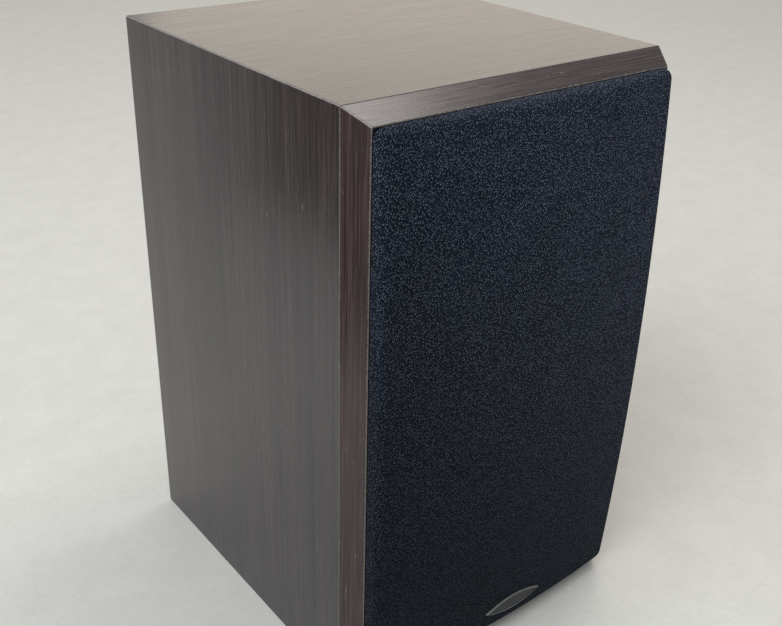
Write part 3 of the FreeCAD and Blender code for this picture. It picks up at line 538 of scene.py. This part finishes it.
def metal(name, colour, roughness, stretch=(1.0, 1.0, 1.0), texture=1500.0):
    """Bare or plated metal, with marks along the direction that stretch is smallest in."""
    paint = Paint(name, roughness=roughness, metallic=1.0)
    marks = paint.noise(paint.place(stretch), texture, 3.0, 0.6)
    slow = paint.noise(paint.place(), 90.0, 3.0, 0.6)
    tone = paint.weighted((marks, 0.4), (slow, 0.6))
    shades = [(0.3, scaled(colour, 0.82)), (0.7, scaled(colour, 1.08))]
    paint.link(paint.ramp(tone, shades), "Base Color")
    paint.link(paint.span(tone, 0.3, 0.7, roughness * 0.75, roughness * 1.3), "Roughness")
    paint.bump(marks, 0.35, 0.02 * MM)
    return paint.material


def worn_paint(name, colour, roughness):
    """Black oxide or powder coat with small bright rubs scattered over it."""
    paint = Paint(name, roughness=roughness, metallic=0.35)
    fine = paint.noise(paint.place(), 1600.0, 2.0, 0.6)
    rub = paint.noise(paint.place(), 420.0, 4.0, 0.75)
    base = paint.ramp(fine, [(0.3, scaled(colour, 0.75)), (0.7, scaled(colour, 1.25))])
    paint.link(paint.mix(paint.span(rub, 0.66, 0.76, 0.0, 0.5), base, (0.30, 0.30, 0.31)), "Base Color")
    paint.bump(fine, 0.4, 0.04 * MM)
    return paint.material


def materials_by_slot():
    """Every CAD node's finish, by the record's material slot."""
    return {
        "black_vinyl": black_vinyl("black_vinyl"),
        "black_plastic": moulded("black_plastic", (0.022, 0.022, 0.024), 0.52),
        "rubber": moulded("rubber", (0.017, 0.017, 0.018), 0.6, texture=900.0),
        "black_steel": worn_paint("black_steel", (0.024, 0.024, 0.026), 0.45),
        "foam": fibrous("foam", (0.035, 0.035, 0.037), 1600.0, 0.15 * MM),
        "black_screw": worn_paint("black_screw", (0.03, 0.03, 0.032), 0.34),
        "cone_paper": cone_paper("cone_paper"),
        "cap_plastic": moulded(
            "cap_plastic", (0.022, 0.022, 0.025), 0.28, depth=0.01 * MM, Coat_Weight=0.3
        ),
        "aluminium": metal("aluminium", (0.72, 0.73, 0.74), 0.35, stretch=(1.0, 0.15, 1.0)),
        "copper": winding("copper"),
        "spider_cloth": woven("spider_cloth", (0.60, 0.42, 0.16), 0.9 * MM),
        "zinc_steel": metal("zinc_steel", (0.60, 0.61, 0.62), 0.30, texture=500.0),
        "ferrite": moulded("ferrite", (0.075, 0.075, 0.08), 0.7, texture=1100.0, depth=0.08 * MM),
        "board_terminals": phenolic("board_terminals"),
        "dome_silk": woven("dome_silk", (0.024, 0.024, 0.027), 0.35 * MM, roughness=0.5),
        "gold_plate": metal("gold_plate", (0.85, 0.62, 0.24), 0.2, stretch=(1.0, 0.2, 1.0)),
        "knob_black": moulded("knob_black", (0.016, 0.016, 0.017), 0.3, Coat_Weight=0.2),
        "knob_red": moulded("knob_red", (0.42, 0.012, 0.012), 0.3, Coat_Weight=0.2),
        "circuit_board": circuit_board("circuit_board"),
        "nylon": moulded("nylon", (0.72, 0.71, 0.66), 0.45, Subsurface_Weight=0.15),
        "capacitor_film": moulded("capacitor_film", (0.50, 0.27, 0.035), 0.25, texture=300.0),
        "resistor_ceramic": moulded("resistor_ceramic", (0.74, 0.71, 0.64), 0.8, depth=0.1 * MM),
    }


def winding(name):
    """Enamelled copper wire in close turns."""
    paint = Paint(name, roughness=0.28, metallic=1.0)
    turns = paint.noise(paint.place((120.0, 120.0, 2400.0)), 1.0, 2.0, 0.5)
    paint.link(paint.ramp(turns, [(0.3, (0.42, 0.15, 0.06)), (0.7, (0.80, 0.36, 0.17))]), "Base Color")
    paint.bump(turns, 0.4, 0.1 * MM)
    return paint.material


# How far behind the baffle's front the terminal boards end and their tabs begin, in mm.
TWEETER_BOARD_BACK, WOOFER_BOARD_BACK = 24.55, 27.65


def phenolic(name):
    """Brown laminated board with tinned tabs behind it, for the terminals of both drivers."""
    paint = Paint(name, roughness=0.45)
    layers = paint.noise(paint.place((1.0, 6.0, 1.0)), 500.0, 3.0, 0.6)
    board = paint.ramp(layers, [(0.3, (0.17, 0.07, 0.025)), (0.7, (0.30, 0.14, 0.055))])
    _, y, z = paint.axes()
    on_woofer = paint.math("LESS_THAN", z, (WOOFER.z + TWEETER.z) / 2.0)
    further = (WOOFER_BOARD_BACK - TWEETER_BOARD_BACK) * MM
    board_back = paint.math("MULTIPLY_ADD", on_woofer, further, FRONT_Y + TWEETER_BOARD_BACK * MM)
    tab = paint.math("GREATER_THAN", y, board_back)
    paint.link(paint.mix(tab, board, (0.62, 0.61, 0.58)), "Base Color")
    paint.link(tab, "Metallic")
    paint.bump(layers, 0.3, 0.03 * MM)
    return paint.material


def circuit_board(name):
    """Green board with small pale pads in about half the places of a grid."""
    paint = Paint(name, roughness=0.35)
    from_middle, chance = paint.cells(paint.place((160.0, 160.0, 1.0)), 0.15)
    weave = paint.noise(paint.place(), 1400.0, 2.0, 0.6)
    green = paint.ramp(weave, [(0.3, (0.012, 0.075, 0.03)), (0.7, (0.022, 0.12, 0.048))])
    has_pad = paint.math("GREATER_THAN", chance, 0.55)
    pad = paint.math("MULTIPLY", paint.span(from_middle, 0.36, 0.33), has_pad)
    paint.link(paint.mix(pad, green, (0.05, 0.24, 0.09)), "Base Color")
    paint.bump(paint.weighted((pad, 1.0), (weave, 0.2)), 0.4, 0.04 * MM)
    return paint.material


def dress_nodes():
    """Puts the procedural materials on every CAD node that stays."""
    finishes = materials_by_slot()
    finishes["wood_vinyl"] = wood_vinyl("wood_vinyl_upright")
    finishes["baffle_vinyl"] = wood_vinyl("wood_vinyl_baffle", is_baffle=True)
    level = wood_vinyl("wood_vinyl_level", along_x=1, seam_dark=True)
    for row in frame["record"]["subparts"]:
        finish = finishes.get(row["material_slot"])
        if row["node"] in ("top_panel", "bottom_panel"):
            finish = level
        if finish is None:
            continue
        slots = nodes[row["node"]].data.materials
        slots.clear()
        slots.append(finish)
    return finishes


# ---------------------------------------------------------------- mesh helpers

def new_piece(name, mesh, material, body, slot, *replaced):
    """Turns a bmesh into a named piece with its material and body, and the nodes it replaces; its slot
    is not used.

    A piece with None for its body is not attached to any body.
    """
    bmesh.ops.recalc_face_normals(mesh, faces=mesh.faces)
    data = bpy.data.meshes.new(name)
    mesh.to_mesh(data)
    mesh.free()
    data.polygons.foreach_set("use_smooth", [True] * len(data.polygons))
    data.materials.append(material)
    piece = bpy.data.objects.new(name, data)
    bpy.context.scene.collection.objects.link(piece)
    if body is not None:
        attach(piece, body)
    if replaced:
        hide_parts(*replaced)
    return piece


def for_first(side, node):
    """The node that a pair of pieces replaces, which the first of them, at side -1, stands for."""
    return [node] if side < 0 else []


def lathe(mesh, profile, place, steps):
    """Turns a closed profile of (radius, depth) points about an axis; place maps (a, b, depth)."""
    rings = []
    for step in range(steps):
        angle = 2.0 * math.pi * step / steps
        c, s = math.cos(angle), math.sin(angle)
        rings.append([mesh.verts.new(place(r * c, r * s, depth)) for r, depth in profile])
    for ring, following in zip(rings, rings[1:] + rings[:1]):
        for k in range(len(profile)):
            n = (k + 1) % len(profile)
            mesh.faces.new((ring[k], ring[n], following[n], following[k]))


def tube(name, points, radius, sides=12):
    """A round tube along a smooth NURBS line that has these points as its control points."""
    curve = bpy.data.curves.new(name, "CURVE")
    curve.dimensions = "3D"
    spline = curve.splines.new("NURBS")
    spline.points.add(len(points) - 1)
    for point, place in zip(spline.points, points):
        point.co = (*place, 1.0)
    spline.order_u = 3
    spline.use_endpoint_u = True
    spline.resolution_u = 8
    curve.bevel_depth = radius
    curve.bevel_resolution = sides // 4
    curve.use_fill_caps = True
    holder = bpy.data.objects.new(name + "_line", curve)
    bpy.context.scene.collection.objects.link(holder)
    bpy.context.view_layer.update()
    graph = bpy.context.evaluated_depsgraph_get()
    made = bpy.data.meshes.new_from_object(holder.evaluated_get(graph))
    bpy.data.objects.remove(holder)
    mesh = bmesh.new()
    mesh.from_mesh(made)
    bmesh.ops.remove_doubles(mesh, verts=mesh.verts, dist=1e-6)
    bpy.data.meshes.remove(made)
    return mesh


def stretch_between(piece, share):
    """Bakes a turned piece's transform and works out a share for each vertex, from the cabinet to a
    moving body; nothing uses the shares.
    """
    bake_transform(piece)
    shares = np.array([share(v.co) for v in piece.data.vertices], np.float32)


def smoothstep(t):
    t = min(max(t, 0.0), 1.0)
    return t * t * (3.0 - 2.0 * t)


# ---------------------------------------------------------------- grille

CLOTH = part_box("grille_cloth")
BOW_X, BOW_Z = 4.1 * MM, 4.5 * MM               # fall of the crowned face to its side and end edges
ACROSS = (HALF_WIDTH - BEVEL_IN) ** 2 / (2.0 * BOW_X)        # radii of the crown
ALONG = (MID_Z - BEVEL_IN) ** 2 / (2.0 * BOW_Z)
EDGE_ROUND = 3.0 * MM
CORNER_ROUND = 4.0 * MM
GRID = 1.3 * MM                                 # distance between the points of the cloth's face
CLOTH_THICK = 0.55 * MM
WINDOW_R = 63.5 * MM                            # the frame's opening, a slot with round ends
WINDOW_TOP = TWEETER.z - 15.0 * MM
WINDOW_DIP, DIP_REACH = 0.16 * MM, 8.0 * MM     # how low the cloth lies in it, and over what distance
RIDGE, RIDGE_REACH = 0.05 * MM, 1.5 * MM        # how its edge shows through the cloth
HEM = [(0.15, 0.15), (0.5, 0.0), (3.0, 0.0), (5.8, 0.0)]     # (inset, distance from the back) in mm


def crown_y(x, z):
    """The crowned face of the grille in front of the cabinet, as Y."""
    sag = ACROSS - math.sqrt(ACROSS**2 - x**2)
    return CLOTH[0].y + ALONG - math.sqrt((ALONG - sag) ** 2 - (z - MID_Z) ** 2)


def window_dip(x, z):
    """How far back the cloth lies in the frame's opening, less the ridge along the opening's edge."""
    nearest = min(max(z, WOOFER.z), WINDOW_TOP)
    outside = math.hypot(x, z - nearest) - WINDOW_R
    ridge = RIDGE * math.exp(-((outside / RIDGE_REACH) ** 2))
    return WINDOW_DIP * smoothstep(-outside / DIP_REACH) - ridge


def ring_points(inset, corner, count_x, count_z):
    """The outline of the grille, rounded at its corners, in the order of a grid's border."""
    a = (CLOTH[1].x - CLOTH[0].x) / 2.0 - inset
    b = (CLOTH[1].z - CLOTH[0].z) / 2.0 - inset
    xs = [-a + 2.0 * a * i / count_x for i in range(count_x + 1)]
    zs = [-b + 2.0 * b * i / count_z for i in range(count_z + 1)]
    border = [(x, -b) for x in xs[:-1]] + [(a, z) for z in zs[:-1]]
    border += [(x, b) for x in reversed(xs[1:])] + [(-a, z) for z in reversed(zs[1:])]
    placed = []
    for x, z in border:
        core = Vector((min(max(x, corner - a), a - corner), min(max(z, corner - b), b - corner)))
        away = Vector((x, z)) - core
        if corner > 0.0 and away.length > 0.0:
            away = away.normalized() * corner
        placed.append((core.x + away.x, core.y + away.y + MID_Z))
    return placed


def cloth_rings():
    """(inset, corner radius, Y) of each ring outside the flat grid, from the face to the hem."""
    back = CLOTH[1].y
    side_back = back - 0.5 * MM
    rings = [(EDGE_ROUND + 0.6 * MM, CORNER_ROUND * 0.45, crown_y)]
    arc_steps = 7
    for k in range(arc_steps + 1):
        angle = math.radians(90.0 * k / arc_steps)
        inset = EDGE_ROUND * (1.0 - math.sin(angle))
        drop = EDGE_ROUND * (1.0 - math.cos(angle))
        rings.append((inset, CORNER_ROUND - inset * 0.8, lambda x, z, drop=drop: crown_y(x, z) + drop))
    rings.append((0.0, CORNER_ROUND, lambda x, z: (crown_y(x, z) + EDGE_ROUND + side_back) / 2.0))
    rings.append((0.0, CORNER_ROUND, lambda x, z: side_back))
    for inset, rise in HEM:
        corner = CORNER_ROUND - min(inset, 2.0) * MM
        rings.append((inset * MM, corner, lambda x, z, rise=rise: back - rise * MM))
    return rings


def grille_cloth():
    """The stretched cloth: a crowned face, rounded edges, sides, and a hem folded behind the frame."""
    low, high = CLOTH
    inset = EDGE_ROUND + 1.5 * MM
    a, b = (high.x - low.x) / 2.0 - inset, (high.z - low.z) / 2.0 - inset
    count_x, count_z = round(2.0 * a / GRID), round(2.0 * b / GRID)
    mesh = bmesh.new()
    grid = []
    for j in range(count_z + 1):
        z = -b + 2.0 * b * j / count_z + MID_Z
        row = []
        for i in range(count_x + 1):
            x = -a + 2.0 * a * i / count_x
            row.append(mesh.verts.new((x, crown_y(x, z) + window_dip(x, z), z)))
        grid.append(row)
    for lower, upper in zip(grid, grid[1:]):
        for i in range(count_x):
            mesh.faces.new((lower[i], lower[i + 1], upper[i + 1], upper[i]))
    ring = [grid[0][i] for i in range(count_x)] + [grid[j][-1] for j in range(count_z)]
    ring += [grid[-1][i] for i in range(count_x, 0, -1)] + [grid[j][0] for j in range(count_z, 0, -1)]
    for depth, corner, height in cloth_rings():
        outline = ring_points(depth, corner, count_x, count_z)
        fresh = [mesh.verts.new((x, height(x, z), z)) for x, z in outline]
        for k in range(len(ring)):
            n = (k + 1) % len(ring)
            mesh.faces.new((ring[k], fresh[k], fresh[n], ring[n]))
        ring = fresh
    thicken(mesh, CLOTH_THICK)
    cloth = speaker_cloth("speaker_cloth")
    piece = new_piece("grille_cloth_fabric", mesh, cloth, "grille", "grille_cloth", "grille_cloth")


def thicken(mesh, thickness):
    """Gives an open sheet a second face behind it, and closes its edge."""
    bmesh.ops.recalc_face_normals(mesh, faces=mesh.faces)
    mesh.normal_update()
    front = list(mesh.verts)
    on_face = front[len(front) // 4]
    inward = -1.0 if on_face.normal.y < 0.0 else 1.0
    behind = {v: mesh.verts.new(v.co + v.normal * thickness * inward) for v in front}
    borders = [e for e in mesh.edges if e.is_boundary]
    for face in list(mesh.faces):
        mesh.faces.new([behind[v] for v in reversed(face.verts)])
    for edge in borders:
        a, b = edge.verts
        mesh.faces.new((a, b, behind[b], behind[a]))


def badge():
    """A plain pointed oval plate with a thin raised rim and a brushed, slightly domed face."""
    low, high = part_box("grille_badge")
    middle = (low + high) / 2.0
    half_x, half_z = (high.x - low.x) / 2.0, (high.z - low.z) / 2.0
    lean = (crown_y(0.0, middle.z + 1.0 * MM) - crown_y(0.0, middle.z - 1.0 * MM)) / (2.0 * MM)
    thick = 0.98 * 1.4 * MM
    # (inset in mm, height as a share of the thickness) from the back's edge over the rim to the face
    edge_rings = [(0.0, -0.5), (0.0, 0.20), (0.10, 0.40)]
    rim_rings = [(0.25, 0.5), (0.45, 0.5), (0.60, 0.40), (0.70, 0.30)]
    face_rings = [(1.4, 0.33), (2.4, 0.36), (3.2, 0.37)]
    mesh = bmesh.new()
    made = []
    for inset, height in edge_rings + rim_rings + face_rings:
        outline = pointed_oval(half_x - inset * MM * half_x / half_z, half_z - inset * MM, 48)
        y = middle.y - height * thick
        made.append([mesh.verts.new((middle.x + u, y + lean * v, middle.z + v)) for u, v in outline])
    for inner, outer in zip(made[1:], made):
        for k in range(len(outer)):
            n = (k + 1) % len(outer)
            mesh.faces.new((outer[k], outer[n], inner[n], inner[k]))
    mesh.faces.new(made[-1])
    mesh.faces.new(made[0])
    plate = badge_metal("badge_metal", middle, half_x, half_z)
    new_piece("badge_plate", mesh, plate, "grille", "badge_metal", "grille_badge")


def pointed_oval(half_long, half_high, steps):
    """Points round the oval between two arcs that meet at its two tips."""
    radius = (half_long**2 + half_high**2) / (2.0 * half_high)
    reach = math.asin(half_long / radius)
    points = []
    for side in (1, -1):
        for k in range(steps):
            angle = side * reach * (2.0 * k / steps - 1.0)
            height = radius * math.cos(angle) - radius + half_high
            points.append((radius * math.sin(angle), side * height))
    return points


def badge_metal(name, middle, half_x, half_z):
    """Dark brushed metal with a paler rim, where the plate's outline is near."""
    paint = Paint(name, roughness=0.36, metallic=0.8)
    x, _, z = paint.axes()
    u = paint.math("DIVIDE", paint.math("SUBTRACT", x, middle.x), half_x)
    v = paint.math("ABSOLUTE", paint.math("SUBTRACT", z, middle.z))
    edge = paint.math("MULTIPLY", paint.math("SUBTRACT", 1.0, paint.math("MULTIPLY", u, u)), half_z)
    from_edge = paint.math("SUBTRACT", edge, v)
    brushed = paint.noise(paint.place((60.0, 1.0, 2500.0)), 1.0, 3.0, 0.6)
    face = paint.ramp(brushed, [(0.3, (0.030, 0.033, 0.034)), (0.7, (0.058, 0.062, 0.062))])
    rim = paint.span(from_edge, 0.75 * MM, 0.45 * MM)
    paint.link(paint.mix(rim, face, (0.24, 0.25, 0.25)), "Base Color")
    paint.bump(brushed, 0.3, 0.02 * MM)
    return paint.material


# ---------------------------------------------------------------- suspensions and leads

def roll_profile(r_in, r_out, base_y, thick, rim_in, rim_out):
    """A half-round roll that bulges forward, with a flat rim each side, as (radius, depth) in mm."""
    middle, radius = (r_in + r_out) / 2.0, (r_out - r_in) / 2.0
    front, back = base_y - thick / 2.0, base_y + thick / 2.0
    big, small = radius + thick / 2.0, radius - thick / 2.0
    turns = [math.pi * k / 20 for k in range(21)]
    points = [(r_in - rim_in, front)]
    points += [(middle - big * math.cos(t), front - big * math.sin(t)) for t in turns]
    points += [(r_out + rim_out, front), (r_out + rim_out, back)]
    points += [(middle + small * math.cos(t), back - (small + thick) * math.sin(t)) for t in turns]
    points += [(r_in - rim_in, back)]
    return points


def suspension(name, replaced, driver, profile, finishes, slot, r_in, r_out):
    """A turned piece about a driver's axis, between the cabinet and its moving body, attached to
    neither.

    Each vertex's share of the moving body is worked out, from none outside r_out to all inside r_in, but
    nothing uses it.
    """
    mesh = bmesh.new()
    lathe(mesh, profile, lambda a, b, y: at(a, y, b + driver.z / MM), steps=144)
    piece = new_piece(name, mesh, finishes[slot], None, slot, replaced)

    def share(point):
        radius = math.hypot(point.x - driver.x, point.z - driver.z) / MM
        return smoothstep((r_out - radius) / (r_out - r_in))

    stretch_between(piece, share)


def spider_profile():
    """Five waves of resin-dipped cloth between the coil former and the basket's ledge."""
    mean, swing, thick, waves = 24.55, 1.0, 0.5, 5
    r_in, r_out, rim = 13.05, 35.5, 40.4
    half_waves, points_each = 2 * waves + 1, 6
    pitch = (r_out - r_in) / half_waves
    path = [(rim, mean)]
    for k in range(half_waves * points_each + 1):
        i = k / points_each
        if i < 1.0:
            wave = (1.0 - math.cos(math.pi * i)) / 2.0
        elif i > 2 * waves:
            wave = -(1.0 + math.cos(math.pi * (i - 2 * waves))) / 2.0
        else:
            wave = -math.cos(math.pi * i)
        path.append((r_out - pitch * i, mean + swing * wave))
    front = [(r, y - thick / 2.0) for r, y in path]
    return front + [(r, y + thick / 2.0) for r, y in reversed(path)]


def suspensions(finishes):
    """The surrounds of both drivers and the woofer's spider."""
    suspension(
        "woofer_surround_roll", "woofer_surround", WOOFER,
        roll_profile(44.4, 54.2, base_y=1.6, thick=0.8, rim_in=2.8, rim_out=4.6),
        finishes, "rubber", r_in=44.4, r_out=54.2,
    )
    suspension(
        "woofer_spider_cloth", "woofer_spider", WOOFER, spider_profile(),
        finishes, "spider_cloth", r_in=13.6, r_out=35.5,
    )
    suspension(
        "tweeter_surround_roll", "tweeter_surround", TWEETER,
        roll_profile(10.4, 12.6, base_y=7.4, thick=0.4, rim_in=0.6, rim_out=3.2),
        finishes, "dome_silk", r_in=10.4, r_out=12.6,
    )


# X and the depth of each lead's points, from the cone to the terminals, in mm.
TINSEL = [
    (-26.0, 14.73), (-36.0, 17.5), (-46.0, 13.6), (-53.8, 15.6),
    (-57.2, 21.0), (-55.8, 26.8), (-50.0, 26.8),
]


def tinsel_leads():
    """Braided leads from the cone to the terminals, free in between."""
    paint = Paint("copper_braid", roughness=0.4, metallic=1.0)
    strands = paint.noise(paint.place(), 3500.0, 2.0, 0.6)
    paint.link(paint.ramp(strands, [(0.3, (0.40, 0.17, 0.08)), (0.7, (0.80, 0.45, 0.26))]), "Base Color")
    paint.bump(strands, 0.8, 0.12 * MM)
    for side, word in ((-1, "lower"), (1, "upper")):
        name = f"tinsel_lead_{word}"
        route = [at(x, y, WOOFER.z / MM + side * 3.0) for x, y in TINSEL]
        mesh = tube(name, route, 0.6 * MM)
        replaced = for_first(side, "woofer_tinsel_leads")
        piece = new_piece(name, mesh, paint.material, None, "copper_braid", *replaced)
        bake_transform(piece)


# ---------------------------------------------------------------- inside the cabinet

def damping_wool():
    """Two soft pads of wadding, flat where they rest on the side walls and lumpy on the other side."""
    half_thick, edge_round, lumps_per_metre = 9.0 * MM, 6.0 * MM, 55.0
    wadding = fibrous("wool", (0.74, 0.75, 0.76), 900.0, 0.6 * MM, sheen=0.3)
    low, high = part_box("damping_wool")
    half = Vector((half_thick, (high.y - low.y) / 2.0, (high.z - low.z) / 2.0))
    for side, word in ((-1, "left"), (1, "right")):
        mesh = bmesh.new()
        bmesh.ops.create_cube(mesh, size=2.0)
        bmesh.ops.subdivide_edges(mesh, edges=mesh.edges, cuts=26, use_grid_fill=True)
        middle = Vector((side * (high.x - half.x), (high.y + low.y) / 2.0, (high.z + low.z) / 2.0))
        for v in mesh.verts:
            raw = Vector(c * h for c, h in zip(v.co, half))
            core = Vector(min(max(c, edge_round - h), h - edge_round) for c, h in zip(raw, half))
            away = raw - core
            if away.length > 0.0:
                away = away.normalized() * edge_round
            lump = noise.noise((core + away) * lumps_per_metre + Vector((side * 3.0, 0, 0)))
            from_wall = (1.0 - side * v.co.x) / 2.0
            dent = from_wall * (1.6 + 1.4 * lump) * MM
            v.co = middle + core + away + Vector((side * dent, 0, 0))
            v.co.y += 0.8 * MM * lump * (1.0 - abs(v.co.y - middle.y) / half.y)
        replaced = for_first(side, "damping_wool")
        piece = new_piece(f"damping_wool_{word}", mesh, wadding, "cabinet", "wool", *replaced)


# Each coil's name, X, depth, inner and outer radius, and its bobbin's height, in mm.
COILS = [("large", -17.0, 90.0, 6.0, 14.0, 18.0), ("small", 17.0, 88.0, 4.5, 10.5, 14.0)]
COIL_WIRE = 1.1
FLANGE, CORE_GAP = 1.25, 0.02                   # what the bobbin takes at each end, and round its core


def crossover_coils(copper):
    """Close turns of enamelled wire on each bobbin, each turn its own ridge."""
    board_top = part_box("crossover_board")[1].z / MM
    half_wire, points_each = COIL_WIRE / 2.0, 5
    for side, (name, x, y, core, radius, tall) in zip((-1, 1), COILS):
        bottom, top = FLANGE, tall - FLANGE
        turns = round((top - bottom) / COIL_WIRE)
        pitch = (top - bottom) / turns
        profile = [(core + CORE_GAP, bottom), (core + CORE_GAP, top)]
        for turn in reversed(range(turns)):
            for k in range(points_each):
                angle = math.pi * (k + 0.5) / points_each
                height = bottom + pitch * (turn + 0.5 + 0.5 * math.cos(angle))
                profile.append((radius - half_wire + half_wire * math.sin(angle), height))
        mesh = bmesh.new()
        lathe(mesh, profile, lambda a, b, height: at(x + a, y + b, board_top + height), steps=72)
        replaced = for_first(side, "crossover_coils")
        new_piece(f"coil_winding_{name}", mesh, copper, "cabinet", "copper", *replaced)


# The crossover's long parts: each one's name, X, depth, radius and half length, in mm.
LEADED = [
    ("main", 16.0, 112.0, 6.5, 14.0), ("small", -21.0, 120.0, 4.5, 9.0),
    ("resistor", -19.0, 110.75, 4.0, 11.0),
]


def component_leads(tin):
    """Tinned leads from the ends of the capacitors and the resistor, bent down into the board."""
    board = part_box("crossover_board")[1].z / MM
    for name, x, y, radius, half in LEADED:
        axis = board + radius
        bend = [(-0.6, axis), (1.0, axis), (1.9, axis - 0.6), (2.1, axis - 2.0), (2.1, board)]
        for side, word in ((-1, "left"), (1, "right")):
            route = [at(x + side * (half + out), y, height) for out, height in bend]
            mesh = tube(f"lead_{name}_{word}", route, 0.35 * MM, sides=8)
            new_piece(f"lead_{name}_{word}", mesh, tin, "cabinet", "zinc_steel")


def pvc(name, colour):
    """A wire's insulation."""
    return moulded(name, colour, 0.42, texture=700.0, depth=0.03 * MM)


def wires():
    """Insulated pairs, black and red, on the routes that the CAD tubes follow."""
    tail, cup_z, end = 138.0, POSTS["red"].z / MM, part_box("crossover_board")[1].z / MM
    woofer_z, tweeter_z = WOOFER.z / MM, TWEETER.z / MM
    finish = {-1: pvc("wire_black", (0.015, 0.015, 0.016)), 1: pvc("wire_red", (0.38, 0.014, 0.012))}
    for s, word in ((-1, "black"), (1, "red")):
        x = POSTS[word].x / MM
        routes = {
            "input_wires": [
                (x, tail, cup_z), (x, tail - 7.0, cup_z), (x, tail - 12.0, cup_z - 4.5),
                (x, tail - 14.5, cup_z - 14.0), (x, tail - 16.0, cup_z - 27.0),
                (x, tail - 15.0, cup_z - 40.0), (x, tail - 15.0, end),
            ],
            "woofer_wires": [
                (-36.0, 90.0 + s * 3.0, end), (-36.0, 90.0 + s * 3.0, end + 8.0),
                (-38.5, 85.0 + s * 3.0, 42.0), (-44.0, 77.0 + s * 2.0, 54.0 + s * 1.5),
                (-48.5, 67.0 + s, 66.0 + s * 3.0), (-49.6, 55.0, 78.0 + s * 4.5),
                (-46.6, 45.0, woofer_z + s * 5.0), (-46.6, 36.0, woofer_z + s * 5.0),
            ],
            "tweeter_wires": [
                (33.0 + s * 1.8, 84.0 + s * 1.8, end), (33.0 + s * 1.8, 84.0 + s * 1.8, end + 9.0),
                (39.0 + s * 1.8, 78.0, 48.0), (47.5 + s * 1.8, 72.0, 72.0),
                (52.0 + s * 1.8, 66.0, 100.0), (50.0 + s * 1.8, 60.0, 130.0),
                (41.0 + s * 2.2, 54.0, 158.0), (28.0 + s * 4.0, 49.0, 182.0),
                (14.0 + s * 6.0, 46.0, 198.0), (s * 7.0, 41.0, tweeter_z), (s * 7.0, 31.5, tweeter_z),
            ],
        }
        for node, route in routes.items():
            name = f"{node[:-1]}_{word}"
            mesh = tube(name, [at(*point) for point in route], 1.2 * MM)
            new_piece(name, mesh, finish[s], "cabinet", "wire_pvc", *for_first(s, node))


# ---------------------------------------------------------------- build

make_camera()
make_lights()
make_floor()
make_flag()
finishes = dress_nodes()
grille_cloth()
badge()
suspensions(finishes)
tinsel_leads()
damping_wool()
crossover_coils(finishes["copper"])
component_leads(finishes["zinc_steel"])
wires()
